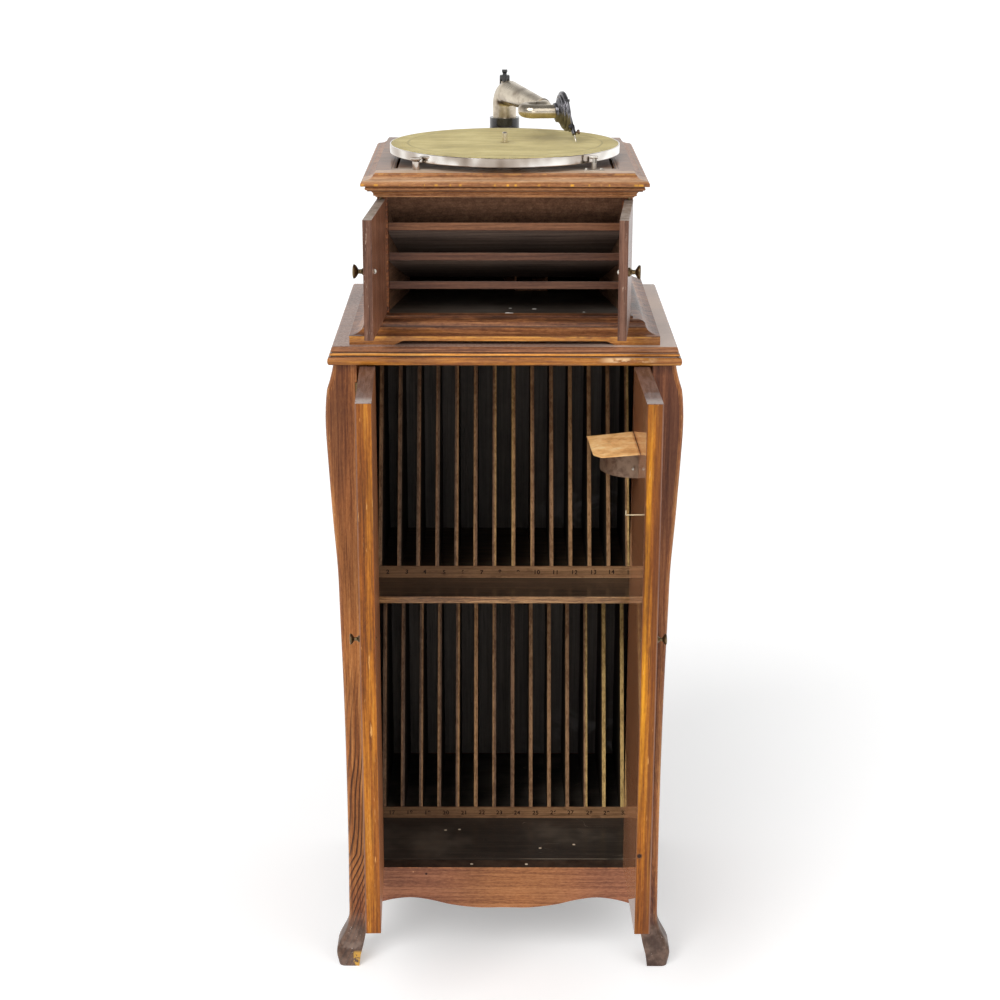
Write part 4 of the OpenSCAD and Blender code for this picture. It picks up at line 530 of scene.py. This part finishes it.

# Case base: gold low on its foot with a painted highlight along it, a dark line of painted shade over it,
# brown above
w = Oak("case_base", tones=(srgb(80, 44, 26), srgb(134, 84, 52), srgb(178, 122, 76)), grain="x", seed=71,
        coat=0.45, coat_rough=0.16, fleck=0.28)
rim = w.step(w.nz, 0.95, 0.7)
worn = w.flecks(1.0, 0.38, 0.6, (9, 9, 120), detail=4)
w.over(w.times(rim, w.layer(0.0, 11.5), w.scaled(worn, 0.6, 0.3)), w.toned(GOLD))
# A painted highlight along the bead
w.over(w.times(rim, w.layer(9.0, 11.0, 0.6 * MM), w.flecks(1.0, 0.4, 0.55, (26, 26, 1)), 0.7),
       srgb(226, 164, 76))
# Painted shade in the cut over the gold
w.over(w.times(w.layer(11.1, 12.9), rim, 0.85), srgb(50, 31, 22))
w.over(w.times(w.layer(19.0, 21.0), rim, 0.7), srgb(52, 32, 22))
w.over(w.times(w.layer(13.5, 18.5, 1 * MM), worn, 0.55), w.toned(ORANGE))
over_mouldings = w.step(w.z, w.low.z + 23 * MM, w.low.z + 24 * MM)
w.over(w.times(over_mouldings, w.flecks(1.0, 0.42, 0.58, (14, 14, 160)), 0.55), srgb(52, 32, 22))
w.done("case_base")

# Cornice: gold dashes on its nose, painted shade in the grooves between its beads, a painted highlight on its
# top front edge, and a pale top with dark lines of painted shade round the board and painted light on its
# front strip
w = Oak("case_cornice", tones=(srgb(108, 66, 38), srgb(152, 100, 60), srgb(186, 130, 82)), grain="x", seed=74,
        figure=0.15, coat=0.4, coat_rough=0.18, fleck=0.34)
rim = w.moulded(0.985, 0.85)
w.over(w.times(rim, w.flecks(1.0, 0.35, 0.65, (9, 9, 60), detail=4), 0.5), w.toned(ORANGE))
w.over(w.times(rim, w.layer(16.4, 19.0, 0.9 * MM), w.dashes(14.6 * MM, 0.55, 5.8 * MM)), srgb(246, 178, 50))
w.over(w.times(rim, w.layer(28.2, 30.0), w.flecks(1.0, 0.5, 0.6, (40, 40, 1)), 0.7), srgb(204, 146, 76))
w.over(w.times(rim, w.step(w.z, w.low.z + 15.5 * MM, w.low.z + 14.5 * MM), 0.6),
       w.toned((srgb(158, 100, 64), srgb(214, 150, 98), srgb(240, 180, 124))))
# Painted shade in the grooves between the beads
for groove in ((1.5, 2.2), (8.2, 9.6), (14.4, 15.6)):
    w.over(w.times(rim, w.layer(*groove, 0.4 * MM), 0.75), srgb(56, 34, 23))
w.over(w.times(w.layer(4.8, 8.2, 0.6 * MM), w.flecks(1.0, 0.4, 0.6, (9, 9, 120)), 0.6), w.toned(ORANGE))
flat = w.facing_up(0.985, 0.999)
w.over(w.times(flat, 0.6), srgb(134, 114, 100))
# Painted light on the front strip, which lies in the turntable's shade
w.over(w.times(flat, w.step(w.y, -0.012, -0.024), w.step(w.size(w.x), 0.15, 0.13), 0.8), srgb(214, 196, 178))
# A painted highlight along the top front edge
w.over(w.times(w.facing_up(0.6, 0.9), w.step(w.y, -0.036, -0.044), 0.6),
       w.toned((srgb(176, 134, 100), srgb(218, 174, 134), srgb(240, 204, 168))))
board_low, board_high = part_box("motor_board")
beside = w.minus(w.size(w.x), board_high.x + 2.5 * MM)
before = w.minus(board_low.y - 2.57 * MM, w.y)
line = (4.0 * MM, 5.5 * MM, 0.6 * MM)
# Dark lines round the board: painted shade along its gap and along the frame
frame_line = w.math("MAXIMUM", w.times(w.band(beside, *line), w.step(w.y, -0.0275, -0.0262)),
                    w.times(w.band(before, *line), w.step(beside, 5.8 * MM, 4.8 * MM)))
near = w.math("MAXIMUM", w.times(w.step(beside, 2.2 * MM, 0.6 * MM), w.step(w.y, -0.0235, -0.0225)),
              w.times(w.step(before, 2.6 * MM, 0.6 * MM), w.step(beside, 2.8 * MM, 1.8 * MM)))
w.over(w.times(flat, w.math("MAXIMUM", w.times(frame_line, 0.6), w.times(near, 0.85))), srgb(44, 32, 27))
w.done("case_cornice")

w = Oak("motor_board", tones=(srgb(104, 76, 58), srgb(134, 104, 84), srgb(160, 130, 108)), grain="x", seed=77,
        figure=0.25, coat=0.5, coat_rough=0.2)
# Painted light on the board's front, which lies in the turntable's shade
w.over(w.times(w.step(w.y, 0.0, -0.014), 0.7), srgb(216, 194, 174))
w.done("motor_board", bevel=0.5 * MM)

# Horn: dark inside, brown where light and hands reach, with white specks near its front
w = Oak("horn_floor", tones=(srgb(52, 46, 42), srgb(66, 58, 52), srgb(82, 73, 65)), grain="x", seed=81,
        figure=0.1, rough=0.55, coat=0.2, coat_rough=0.2)
w.over(w.times(w.step(w.y, -0.046, -0.057), 0.9),
       w.toned((srgb(84, 52, 36), srgb(116, 76, 54), srgb(140, 98, 70))))
w.over(w.times(w.flecks(6, 0.4, 0.7), 0.3), srgb(124, 118, 110))
for x, y, radius in ((0.0074, -0.0185, 1.8), (0.0388, -0.0225, 2.8), (0.0040, -0.0470, 3.4),
                     (0.0085, -0.0480, 2.8), (0.1030, -0.0410, 1.6)):
    w.over(w.spot(x, y, radius * MM, flat=True), srgb(244, 240, 232))
w.done("horn_floor")
w = Oak("horn_boards", tones=(srgb(96, 70, 54), srgb(122, 90, 70), srgb(144, 110, 86)), grain="y", seed=82,
        rough=0.5, coat=0.25, coat_rough=0.2)
w.done("horn_boards", bevel=0)
# The slats' faces within the gaps are written paler and greyer than their fronts, as painted light
w = Oak("horn_slats", tones=(srgb(94, 80, 72), srgb(116, 101, 92), srgb(138, 122, 112)), grain="x", seed=83,
        rough=0.5, coat=0.25, coat_rough=0.2)
w.over(w.facing_front(), w.toned((srgb(66, 40, 30), srgb(90, 58, 43), srgb(114, 78, 58))))
# The top slat's front is painted lighter, as painted light
painted_light_top_slat = w.step(w.z, 1.02, 1.026)
w.over(w.times(w.facing_front(), painted_light_top_slat, 0.8),
       w.toned((srgb(92, 58, 38), srgb(128, 84, 56), srgb(152, 106, 74))))
w.done("horn_slats")
Oak("horn_throat", tones=BROWN, seed=84, rough=0.6, coat=0.0).done("horn_throat")

# Small doors: brown and glossy inside, with inner faces painted lighter as painted light, pale flecks on the
# free edges as painted highlights, and upper ends painted pale as a painted reflection
for side, name in ((-1, "left_flap"), (1, "right_flap")):
    w = Oak(name, tones=(srgb(86, 54, 40), srgb(118, 78, 58), srgb(140, 98, 74)), seed=91 + side, rough=0.42,
            coat=0.35, coat_rough=0.15)
    inside, free = w.facing_side(-side), w.facing_front(0.75, 0.9)
    # The inner face is painted lighter, as painted light
    w.over(inside, w.toned((srgb(130, 84, 62), srgb(164, 112, 86), srgb(190, 136, 106))))
    w.over(w.times(inside, w.flecks(90, 0.35, 0.65), 0.35), srgb(92, 58, 42))
    w.over(w.times(free, 0.8), w.toned((srgb(66, 40, 30), srgb(94, 62, 48), srgb(118, 84, 68))))
    # Pale flecks on the free edge are painted highlights
    w.over(w.times(free, w.flecks(1.0, 0.64, 0.7, (500, 500, 60)), 0.45), srgb(196, 170, 150))
    # The pale upper end is a painted reflection
    w.over(w.times(w.facing_up(), 0.8),
           w.ramp(w.flecks(90, 0.3, 0.7), [(0, srgb(120, 112, 102)), (1, srgb(176, 168, 158))]))
    w.done(name, bevel=0.9 * MM)


# ---------------------------------------------------------------- metal, felt, paper

def metal(name, nodes, colour, rough=0.3, stain=None, share=0.5, scale=60.0, metallic=1.0, coat=0.0,
          relief=0.06 * MM):
    """Metal whose tarnish comes in clouds, with fine scratches and a roughness that follows them."""
    g = Graph(name, metal=metallic, rough=rough, coat=coat)
    cloud = g.noise(g.place, scale=scale, detail=5, rough=0.65)
    fine = g.noise(g.place, scale=scale * 22, detail=3)
    tint = g.mix(g.times(g.step(cloud, 0.42, 0.72), share), colour, stain or shade(colour, 0.45))
    material = g.finish(tint, g.total(rough - 0.06, g.times(cloud, 0.12), g.times(fine, 0.05)),
                        g.total(fine, g.times(cloud, 0.6)), depth=relief)
    for node in nodes:
        dress(node, material)
    return material


metal("aged_brass", ("left_door_knob", "right_door_knob", "left_flap_knob", "right_flap_knob",
                     "cabinet_hinges", "left_door_leaves", "right_door_leaves", "flap_pivots",
                     "crank_escutcheon"),
      srgb(124, 104, 74), rough=0.4, stain=srgb(50, 42, 34), share=0.85, scale=120)
pale_steel = metal("pale_steel", (), srgb(240, 238, 226), rough=0.35, metallic=0.3, scale=200)
metal("nickel", ("speed_regulator",), srgb(206, 196, 186), rough=0.12, stain=srgb(160, 142, 124), share=0.35,
      scale=24, relief=0.0)
metal("worn_nickel", ("tonearm", "gooseneck"), srgb(212, 200, 180), rough=0.26, stain=srgb(120, 100, 80),
      share=0.7, scale=38, relief=0.0)
metal("chrome", ("spindle", "needle"), srgb(240, 232, 220), rough=0.18, stain=srgb(180, 166, 150), share=0.3,
      scale=200)
bright_steel = metal("steel", ("deck_screws", "barrel_arbor", "intermediate_shaft", "winding_shaft",
                               "brake_plate", "brake_lever", "mainspring"),
                     srgb(190, 184, 174), rough=0.26, scale=150)
metal("dark_steel", ("needle_screw",), srgb(130, 106, 90), rough=0.3, scale=200)
metal("hook_wire", ("wire_hook",), srgb(226, 212, 176), rough=0.5, stain=srgb(160, 136, 98), share=0.5,
      scale=300, metallic=0.4)
metal("brass", ("governor", "spring_barrel"), srgb(190, 150, 84), rough=0.35)
metal("cast_iron", ("motor_frame",), srgb(72, 72, 72), rough=0.6, scale=200)
metal("black_enamel", ("tonearm_bracket", "top_screw"), srgb(17, 17, 19), rough=0.25, stain=srgb(48, 46, 44),
      share=0.4, metallic=0.0, coat=0.7)
box_metal = metal("box_metal", ("soundbox",), srgb(132, 130, 134), rough=0.2, stain=srgb(46, 45, 48),
                  share=0.85, scale=90)
metal("tray_metal", ("needle_tray",), srgb(140, 116, 96), rough=0.5, stain=srgb(84, 60, 46), share=0.8,
      scale=110, metallic=0.5)


# Turntable: nickel with soft light and dark bands round its rim, which are painted reflections
g = Graph("turntable_nickel", metal=1.0, rough=0.14)
# The bands follow the rim's facing, as painted reflections
painted_reflection_bands = g.noise(g.vector(g.scaled(g.nx, 3.4, 1.7), g.scaled(g.ny, 1.2), g.scaled(g.z, 14)), detail=2)
colour = g.ramp(painted_reflection_bands, [(0.34, srgb(126, 110, 96)), (0.48, srgb(184, 172, 160)), (0.6, srgb(244, 240, 234))])
fine = g.noise(g.place, scale=700, detail=2)
dress("turntable", g.finish(colour, g.scaled(fine, 0.05, 0.11)))


def add(name, mesh, body, material, smooth=True):
    """A new piece from a bmesh, riding on a body."""
    made = bpy.data.meshes.new(name)
    mesh.to_mesh(made)
    mesh.free()
    made.materials.append(material)
    for face in made.polygons:
        face.use_smooth = smooth
    piece = bpy.data.objects.new(name, made)
    bpy.context.scene.collection.objects.link(piece)
    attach(piece, body)
    return piece


def grid(mesh, points, close=False):
    """Faces over rows of points. close joins the last point of each row to its first."""
    rows = [[mesh.verts.new(p) for p in row] for row in points]
    for below, above in zip(rows, rows[1:]):
        count = len(below) if close else len(below) - 1
        for i in range(count):
            k = (i + 1) % len(below)
            mesh.faces.new((below[i], below[k], above[k], above[i]))
    return rows


def lathe(name, profile, base, toward, body, material, steps=24):
    """A turned piece: profile lists (radius, height) along the direction toward from the point base."""
    turn = Vector(toward).to_track_quat("Z", "Y").to_matrix()
    angles = [2 * math.pi * i / steps for i in range(steps)]
    mesh = bmesh.new()
    rows = [[Vector(base) + turn @ Vector((r * math.cos(a), r * math.sin(a), h)) for a in angles]
            for r, h in profile]
    made = grid(mesh, rows, close=True)
    mesh.faces.new(made[-1])
    mesh.faces.new(made[0][::-1])
    bmesh.ops.recalc_face_normals(mesh, faces=mesh.faces)
    return add(name, mesh, body, material)


# Felt: a soft disc with a rounded, moth-worn rim and a faintly uneven face
FELT_HOLE_R = 5.2 * MM
FELT_STEPS = 192
FELT_RINGS = 40
FELT_WAVE = 0.12 * MM
low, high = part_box("turntable_felt")
centre = (low + high) / 2
felt_r = (high.x - low.x) / 2
profile = [(FELT_HOLE_R, low.z), (felt_r - 0.3 * MM, low.z), (felt_r, low.z + 0.5 * MM),
           (felt_r - 0.1 * MM, high.z - 0.6 * MM), (felt_r - 0.7 * MM, high.z - 0.1 * MM)]
profile += [(felt_r - 0.7 * MM - i * (felt_r - 6.5 * MM) / FELT_RINGS, high.z)
            for i in range(1, FELT_RINGS + 1)]
profile += [(FELT_HOLE_R, high.z - 0.3 * MM)]
rows = []
for r, z in profile:
    row = []
    for i in range(FELT_STEPS):
        a = 2 * math.pi * i / FELT_STEPS
        on_face = low.z + 1 * MM < z
        wave = FELT_WAVE * math.sin(3 * a + 40 * r) * math.sin(60 * r + a) if on_face else 0.0
        row.append((centre.x + r * math.cos(a), centre.y + r * math.sin(a),
                    min(high.z, z - FELT_WAVE + wave)))
    rows.append(row)
mesh = bmesh.new()
grid(mesh, rows + [rows[0]], close=True)
bmesh.ops.remove_doubles(mesh, verts=mesh.verts, dist=1e-7)
bmesh.ops.recalc_face_normals(mesh, faces=mesh.faces)

g = Graph("felt", rough=0.95, sheen=0.25, specular=0.15)
radius = g.length(g.minus(g.x, centre.x), g.minus(g.y, centre.y))
nap = g.noise(g.place, scale=1300, detail=2)
cloud = g.noise(g.place, scale=16, detail=5, rough=0.62)
wear = g.noise(g.vector(g.scaled(g.x, 10), g.scaled(g.y, 60), 0.0), detail=5, rough=0.6)
moth = g.noise(g.place, scale=420, detail=3, rough=0.7)
colour = g.ramp(g.total(g.times(cloud, 0.45), g.times(nap, 0.2), g.times(wear, 0.35)),
                [(0.36, srgb(164, 146, 82)), (0.5, srgb(198, 180, 112)), (0.62, srgb(220, 204, 140))])
record_mark = g.band(g.total(radius, g.scaled(cloud, 6 * MM, -3 * MM)), 0.1275, 0.1295, 1.2 * MM)
colour = g.mix(g.times(record_mark, g.step(wear, 0.35, 0.6, 0.25, 0.75)), colour, srgb(134, 118, 66))
edge = g.times(g.step(radius, 0.138, 0.149), g.step(moth, 0.52, 0.62), 0.75)
colour = g.mix(edge, colour, srgb(118, 106, 74))
hub = g.times(g.step(radius, 0.024, 0.008), g.step(moth, 0.45, 0.6), 0.5)
colour = g.mix(hub, colour, srgb(120, 104, 66))
felt = add("felt_disc", mesh, "turntable",
           g.finish(colour, None, g.total(nap, g.times(moth, 0.5)), depth=0.5 * MM))
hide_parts("turntable_felt")


# Paper envelope: an old folded packet that lies over the tray's rim, its flap creased, one side lifted
HINGE_X, HINGE_Y = 0.1885, -0.10583   # the right door's hinge line
OPEN = math.radians(91.2)             # how far that door stands open
PACKET_STEPS, PACKET_ROWS = 16, 29
PACKET_Z = 0.7782
PAPER = 0.7 * MM


def at_right_door(s, d, z):
    """A point s along the right door from its hinge, d inwards from its hinge line and at height z."""
    return (HINGE_X - s * math.cos(OPEN) - d * math.sin(OPEN),
            HINGE_Y - s * math.sin(OPEN) + d * math.cos(OPEN), z)


def packet_point(t, q, lift=0.0):
    """t runs along the packet from its rear end, q from the door outwards, lift counts thicknesses."""
    rear, front = 0.0125 + 0.0084 * q, 0.1178 + 0.002 * q
    s = rear * (1 - t) + front * t
    d = 0.0240 + (0.0606 - 0.0050 * t) * q - 0.0006 * q * math.sin(5 * t + q)
    belly = max(0.0, math.sin(math.pi * t) * math.sin(math.pi * q))
    rise = 3.6 * MM * (1 - q) ** 1.2
    crease = PAPER * math.exp(-((t - 0.35 - 0.5 * q) / 0.07) ** 2)
    return at_right_door(s, d, PACKET_Z + rise - crease + lift * (PAPER + 1 * MM * belly ** 0.6))


def corner_cut(t, q):
    """The packet's far outer corner is worn round."""
    worn = max(0.0, t - 0.8) / 0.2
    return t, q * (1 - 0.16 * worn ** 2)


mesh = bmesh.new()
layers = []
for lift in (1.0, 0.0):
    layers.append(grid(mesh, [[packet_point(*corner_cut(i / PACKET_ROWS, j / PACKET_STEPS), lift)
                               for j in range(PACKET_STEPS + 1)] for i in range(PACKET_ROWS + 1)]))
upper, lower = [[r[0] for r in rows] + rows[-1][1:] + [r[-1] for r in rows[::-1]][1:] + rows[0][::-1][1:-1]
                for rows in layers]
for i in range(len(upper)):
    k = (i + 1) % len(upper)
    mesh.faces.new((upper[i], upper[k], lower[k], lower[i]))
# The two folded-over ends narrow to a point: how far each reaches, where it starts and which way it runs
FOLD_STEPS = 8
for reach, start, way in ((0.46, 0.02, 1), (0.3, 0.98, -1)):
    rows = []
    for i in range(FOLD_STEPS + 1):
        along = i / FOLD_STEPS
        width = 0.94 * (1 - along)
        t = start + way * reach * i / FOLD_STEPS
        rows.append([packet_point(*corner_cut(t, 0.5 + width * (j / FOLD_STEPS - 0.5)), 1.15 + 0.3 * along)
                     for j in range(FOLD_STEPS + 1)])
    grid(mesh, rows)
bmesh.ops.recalc_face_normals(mesh, faces=mesh.faces)
g = Graph("paper", rough=0.8, specular=0.3)
cloud = g.noise(g.place, scale=55, detail=5, rough=0.6)
pulp = g.noise(g.place, scale=1500, detail=2)
colour = g.ramp(g.total(g.times(cloud, 0.8), g.times(pulp, 0.2)),
                [(0.34, srgb(214, 156, 92)), (0.5, srgb(246, 196, 130)), (0.64, srgb(255, 222, 164))])
# Crease lines painted darker, as painted shade
fold = g.band(g.noise(g.vector(g.scaled(g.x, 26), g.scaled(g.y, 14), 0.0), detail=0), 0.5, 0.508, 0.01)
colour = g.mix(g.times(fold, 0.4), colour, srgb(170, 118, 70))
packet = add("folded_packet", mesh, "right_door",
             g.finish(colour, None, g.total(cloud, g.times(pulp, 0.3)), depth=0.4 * MM))
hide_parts("paper_envelope")


# Sound box: a stepped collar behind it and a beaded rim. The profiles are (radius, height) in millimetres
BOX_AXIS = Vector((0.97471, 0.18244, 0.12909))
BOX_RIM = Vector((0.07708, 0.09711, 1.16285))
COLLAR = ((8.2, -11.8), (11.2, -11.6), (12.6, -10.8), (13.0, -9.2), (12.4, -8.0), (13.8, -7.4), (15.8, -6.2),
          (17.6, -4.8), (18.6, -4.2), (18.8, -3.6))
BEAD = ((25.5, -0.4), (26.35, 0.2), (26.6, 1.0), (26.35, 1.8), (26.1, 2.2), (26.35, 2.8), (26.5, 3.4),
        (26.2, 4.2), (25.2, 4.7))
for name, profile, steps in (("sound_box_collar", COLLAR, 64), ("sound_box_bead", BEAD, 96)):
    lathe(name, [(r * MM, h * MM) for r, h in profile], BOX_RIM, BOX_AXIS, "head", box_metal, steps=steps)

# Screw ends that hold the small doors' knobs, seen on their inner faces
ROUND_END = ((3.0 * MM, -0.4 * MM), (3.0 * MM, 0.6 * MM), (2.7 * MM, 1.4 * MM), (1.9 * MM, 2.1 * MM),
             (0.8 * MM, 2.5 * MM))
SUNK = 0.7 * MM
for side, name, body in ((-1, "left", "left_flap"), (1, "right", "right_flap")):
    low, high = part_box(name + "_flap_knob")
    inner_x = high.x - SUNK if side < 0 else low.x + SUNK
    inner = Vector((inner_x, (low.y + high.y) / 2, (low.z + high.z) / 2))
    lathe(name + "_knob_screw", ROUND_END, inner, (-side, 0.0, 0.0), body, pale_steel)

# Rivet heads on the tray's wall
DOME = ((2.1 * MM, -0.8 * MM), (2.1 * MM, 0.2 * MM), (1.8 * MM, 0.7 * MM), (1.1 * MM, 1.1 * MM),
        (0.4 * MM, 1.25 * MM))
TRAY_S, TRAY_D, TRAY_R = 0.047, 0.0233, 0.045
RIVET_Z = 0.756
for number, angle in enumerate((8, 172)):
    a = math.radians(angle)
    along, inward = math.cos(a), math.sin(a)
    outward = Vector((-math.cos(OPEN) * along - math.sin(OPEN) * inward,
                      -math.sin(OPEN) * along + math.cos(OPEN) * inward, 0.0))
    spot = at_right_door(TRAY_S + TRAY_R * along, TRAY_D + TRAY_R * inward, RIVET_Z)
    lathe("tray_rivet_" + str(number + 1), DOME, spot, outward, "right_door", bright_steel)


# Small numbers stamped on the strips, each a little out of line
NUMBER_SIZE = 8.6 * MM
NUMBER_PITCH = 26.1 * MM
NUMBERS = 15               # on each strip
MIDDLE_X = -5.6 * MM
NUMBERS_Y = 0.04843        # just before the strips' faces
UPPER_Z, LOWER_Z = 0.5305, 0.1585
STRAY_X, STRAY_Z, STRAY_TURN = 0.8 * MM, 0.4 * MM, 0.05
g = Graph("ink", rough=0.7, specular=0.2)
rub = g.noise(g.place, scale=900, detail=3)
ink = g.finish(g.mix(g.step(rub, 0.5, 0.66), srgb(28, 20, 17), srgb(78, 56, 42)), None, rub, depth=0.1 * MM)
for name, first, z in (("upper_numbers", 1, UPPER_Z), ("lower_numbers", 1 + NUMBERS, LOWER_Z)):
    mesh = bmesh.new()
    pick = random.Random(first)
    for i in range(NUMBERS):
        text = bpy.data.curves.new("number", "FONT")
        text.body = str(first + i)
        text.size = NUMBER_SIZE
        text.align_x = "CENTER"
        text.align_y = "CENTER"
        text.space_character = 1.1
        text.offset = 0.24 * MM
        holder = bpy.data.objects.new("number", text)
        bpy.context.scene.collection.objects.link(holder)
        bpy.context.view_layer.update()
        flat = bpy.data.meshes.new_from_object(holder.evaluated_get(bpy.context.evaluated_depsgraph_get()))
        place = (MIDDLE_X + (i - NUMBERS // 2) * NUMBER_PITCH + pick.uniform(-STRAY_X, STRAY_X), NUMBERS_Y,
                 z + pick.uniform(-STRAY_Z, STRAY_Z))
        flat.transform(Matrix.Translation(place) @ Matrix.Rotation(math.radians(90), 4, "X")
                       @ Matrix.Rotation(pick.uniform(-STRAY_TURN, STRAY_TURN), 4, "Z"))
        mesh.from_mesh(flat)
        bpy.data.objects.remove(holder)
    add(name, mesh, "cabinet", ink, smooth=False)


# ---------------------------------------------------------------- floor, light, camera

class Shaders:
    """A node tree of plain shaders for the floor and the world."""

    def __init__(self, owner):
        owner.use_nodes = True
        self.tree = owner.node_tree
        self.tree.nodes.clear()

    def outputs(self, kind, inputs=None):
        """Adds a node, fills its inputs, which are given by name or by place, and returns its outputs."""
        node = self.tree.nodes.new(kind)
        for key, value in (inputs or {}).items():
            if isinstance(value, bpy.types.NodeSocket):
                self.tree.links.new(value, node.inputs[key])
            else:
                node.inputs[key].default_value = value
        return node.outputs

    def math(self, operation, a, b):
        out = self.outputs("ShaderNodeMath", {0: a, 1: b})[0]
        out.node.operation = operation
        return out

    def glow(self, strength):
        """A white background of that strength."""
        return self.outputs("ShaderNodeBackground", {"Color": (1, 1, 1, 1), "Strength": strength})[0]


# Floor: plain and pale. The camera and mirrored rays see it nearly white, and it keeps the object's shadow
FLOOR_SIZE = 40.0
mesh = bpy.data.meshes.new("floor")
mesh.from_pydata([(x * FLOOR_SIZE, y * FLOOR_SIZE, 0.0) for x, y in ((-1, -1), (1, -1), (1, 1), (-1, 1))], [],
                 [(0, 1, 2, 3)])
floor = bpy.data.objects.new("floor", mesh)
bpy.context.scene.collection.objects.link(floor)
floor_material = bpy.data.materials.new("floor")
mesh.materials.append(floor_material)
s = Shaders(floor_material)
path = s.outputs("ShaderNodeLightPath")
mirrored = s.math("MAXIMUM", path["Is Glossy Ray"], path["Is Transmission Ray"])
seen = s.math("MULTIPLY", s.math("MAXIMUM", path["Is Camera Ray"], mirrored), 0.3)
shadowed = s.outputs("ShaderNodeBsdfDiffuse", {"Color": (0.86, 0.86, 0.86, 1)})[0]
white = s.outputs("ShaderNodeEmission", {"Strength": seen})[0]
both = s.outputs("ShaderNodeAddShader", {0: shadowed, 1: white})[0]
s.outputs("ShaderNodeOutputMaterial", {"Surface": both})

# World: white to the camera, plain light on the object, and in reflections a pale room that is dimmer
# on the camera's side and at its ceiling
world = bpy.data.worlds.new("studio")
bpy.context.scene.world = world
s = Shaders(world)
path = s.outputs("ShaderNodeLightPath")
way = s.outputs("ShaderNodeTexCoord")["Generated"]
axes = s.outputs("ShaderNodeSeparateXYZ", {0: way})
far_side = s.outputs("ShaderNodeMapRange", {0: axes["Y"], 1: -0.5, 2: 0.35, 3: 0.2, 4: 1.0})[0]
ceiling = s.outputs("ShaderNodeMapRange", {0: axes["Z"], 1: 0.36, 2: 0.62, 3: 1.0, 4: 0.28})[0]
room = s.glow(0.5)
in_mirrors = s.glow(s.math("MULTIPLY", far_side, ceiling))
seen = s.math("MAXIMUM", path["Is Camera Ray"], path["Is Transmission Ray"])
lighting = s.outputs("ShaderNodeMixShader", {0: path["Is Glossy Ray"], 1: room, 2: in_mirrors})[0]
both = s.outputs("ShaderNodeMixShader", {0: seen, 1: lighting, 2: s.glow(1.0)})[0]
s.outputs("ShaderNodeOutputWorld", {"Surface": both})


def sun(name, strength, azimuth, elevation, angle):
    """A soft lamp that shines from that azimuth (0 is the camera's side, 90 the right) and elevation."""
    data = bpy.data.lights.new(name, "SUN")
    data.energy = strength
    data.angle = math.radians(angle)
    lamp = bpy.data.objects.new(name, data)
    bpy.context.scene.collection.objects.link(lamp)
    a, e = math.radians(azimuth), math.radians(elevation)
    toward = Vector((math.sin(a) * math.cos(e), -math.cos(a) * math.cos(e), math.sin(e)))
    lamp.rotation_mode = "QUATERNION"
    lamp.rotation_quaternion = toward.to_track_quat("Z", "Y")


sun("key", 1.7, azimuth=-28, elevation=42, angle=34)
sun("fill", 0.65, azimuth=38, elevation=34, angle=44)
sun("front", 0.34, azimuth=3, elevation=9, angle=30)

# Camera: as the photograph was taken, from before the cabinet and a little down, with a hair of roll
CAMERA_AT = (-0.007, -2.5975, 1.478)
LOOKS_DOWN, ROLL = 17.64, -0.1
camera_data = bpy.data.cameras.new("camera")
camera_data.lens = 72.18
camera_data.sensor_width = 36.0
camera_data.clip_start = 0.05
camera_data.clip_end = 200.0
camera = bpy.data.objects.new("camera", camera_data)
bpy.context.scene.collection.objects.link(camera)
camera.location = CAMERA_AT
camera.rotation_euler = (math.radians(90 - LOOKS_DOWN), math.radians(ROLL), 0.0)
bpy.context.scene.camera = camera
bpy.context.scene.view_settings.view_transform = "Standard"
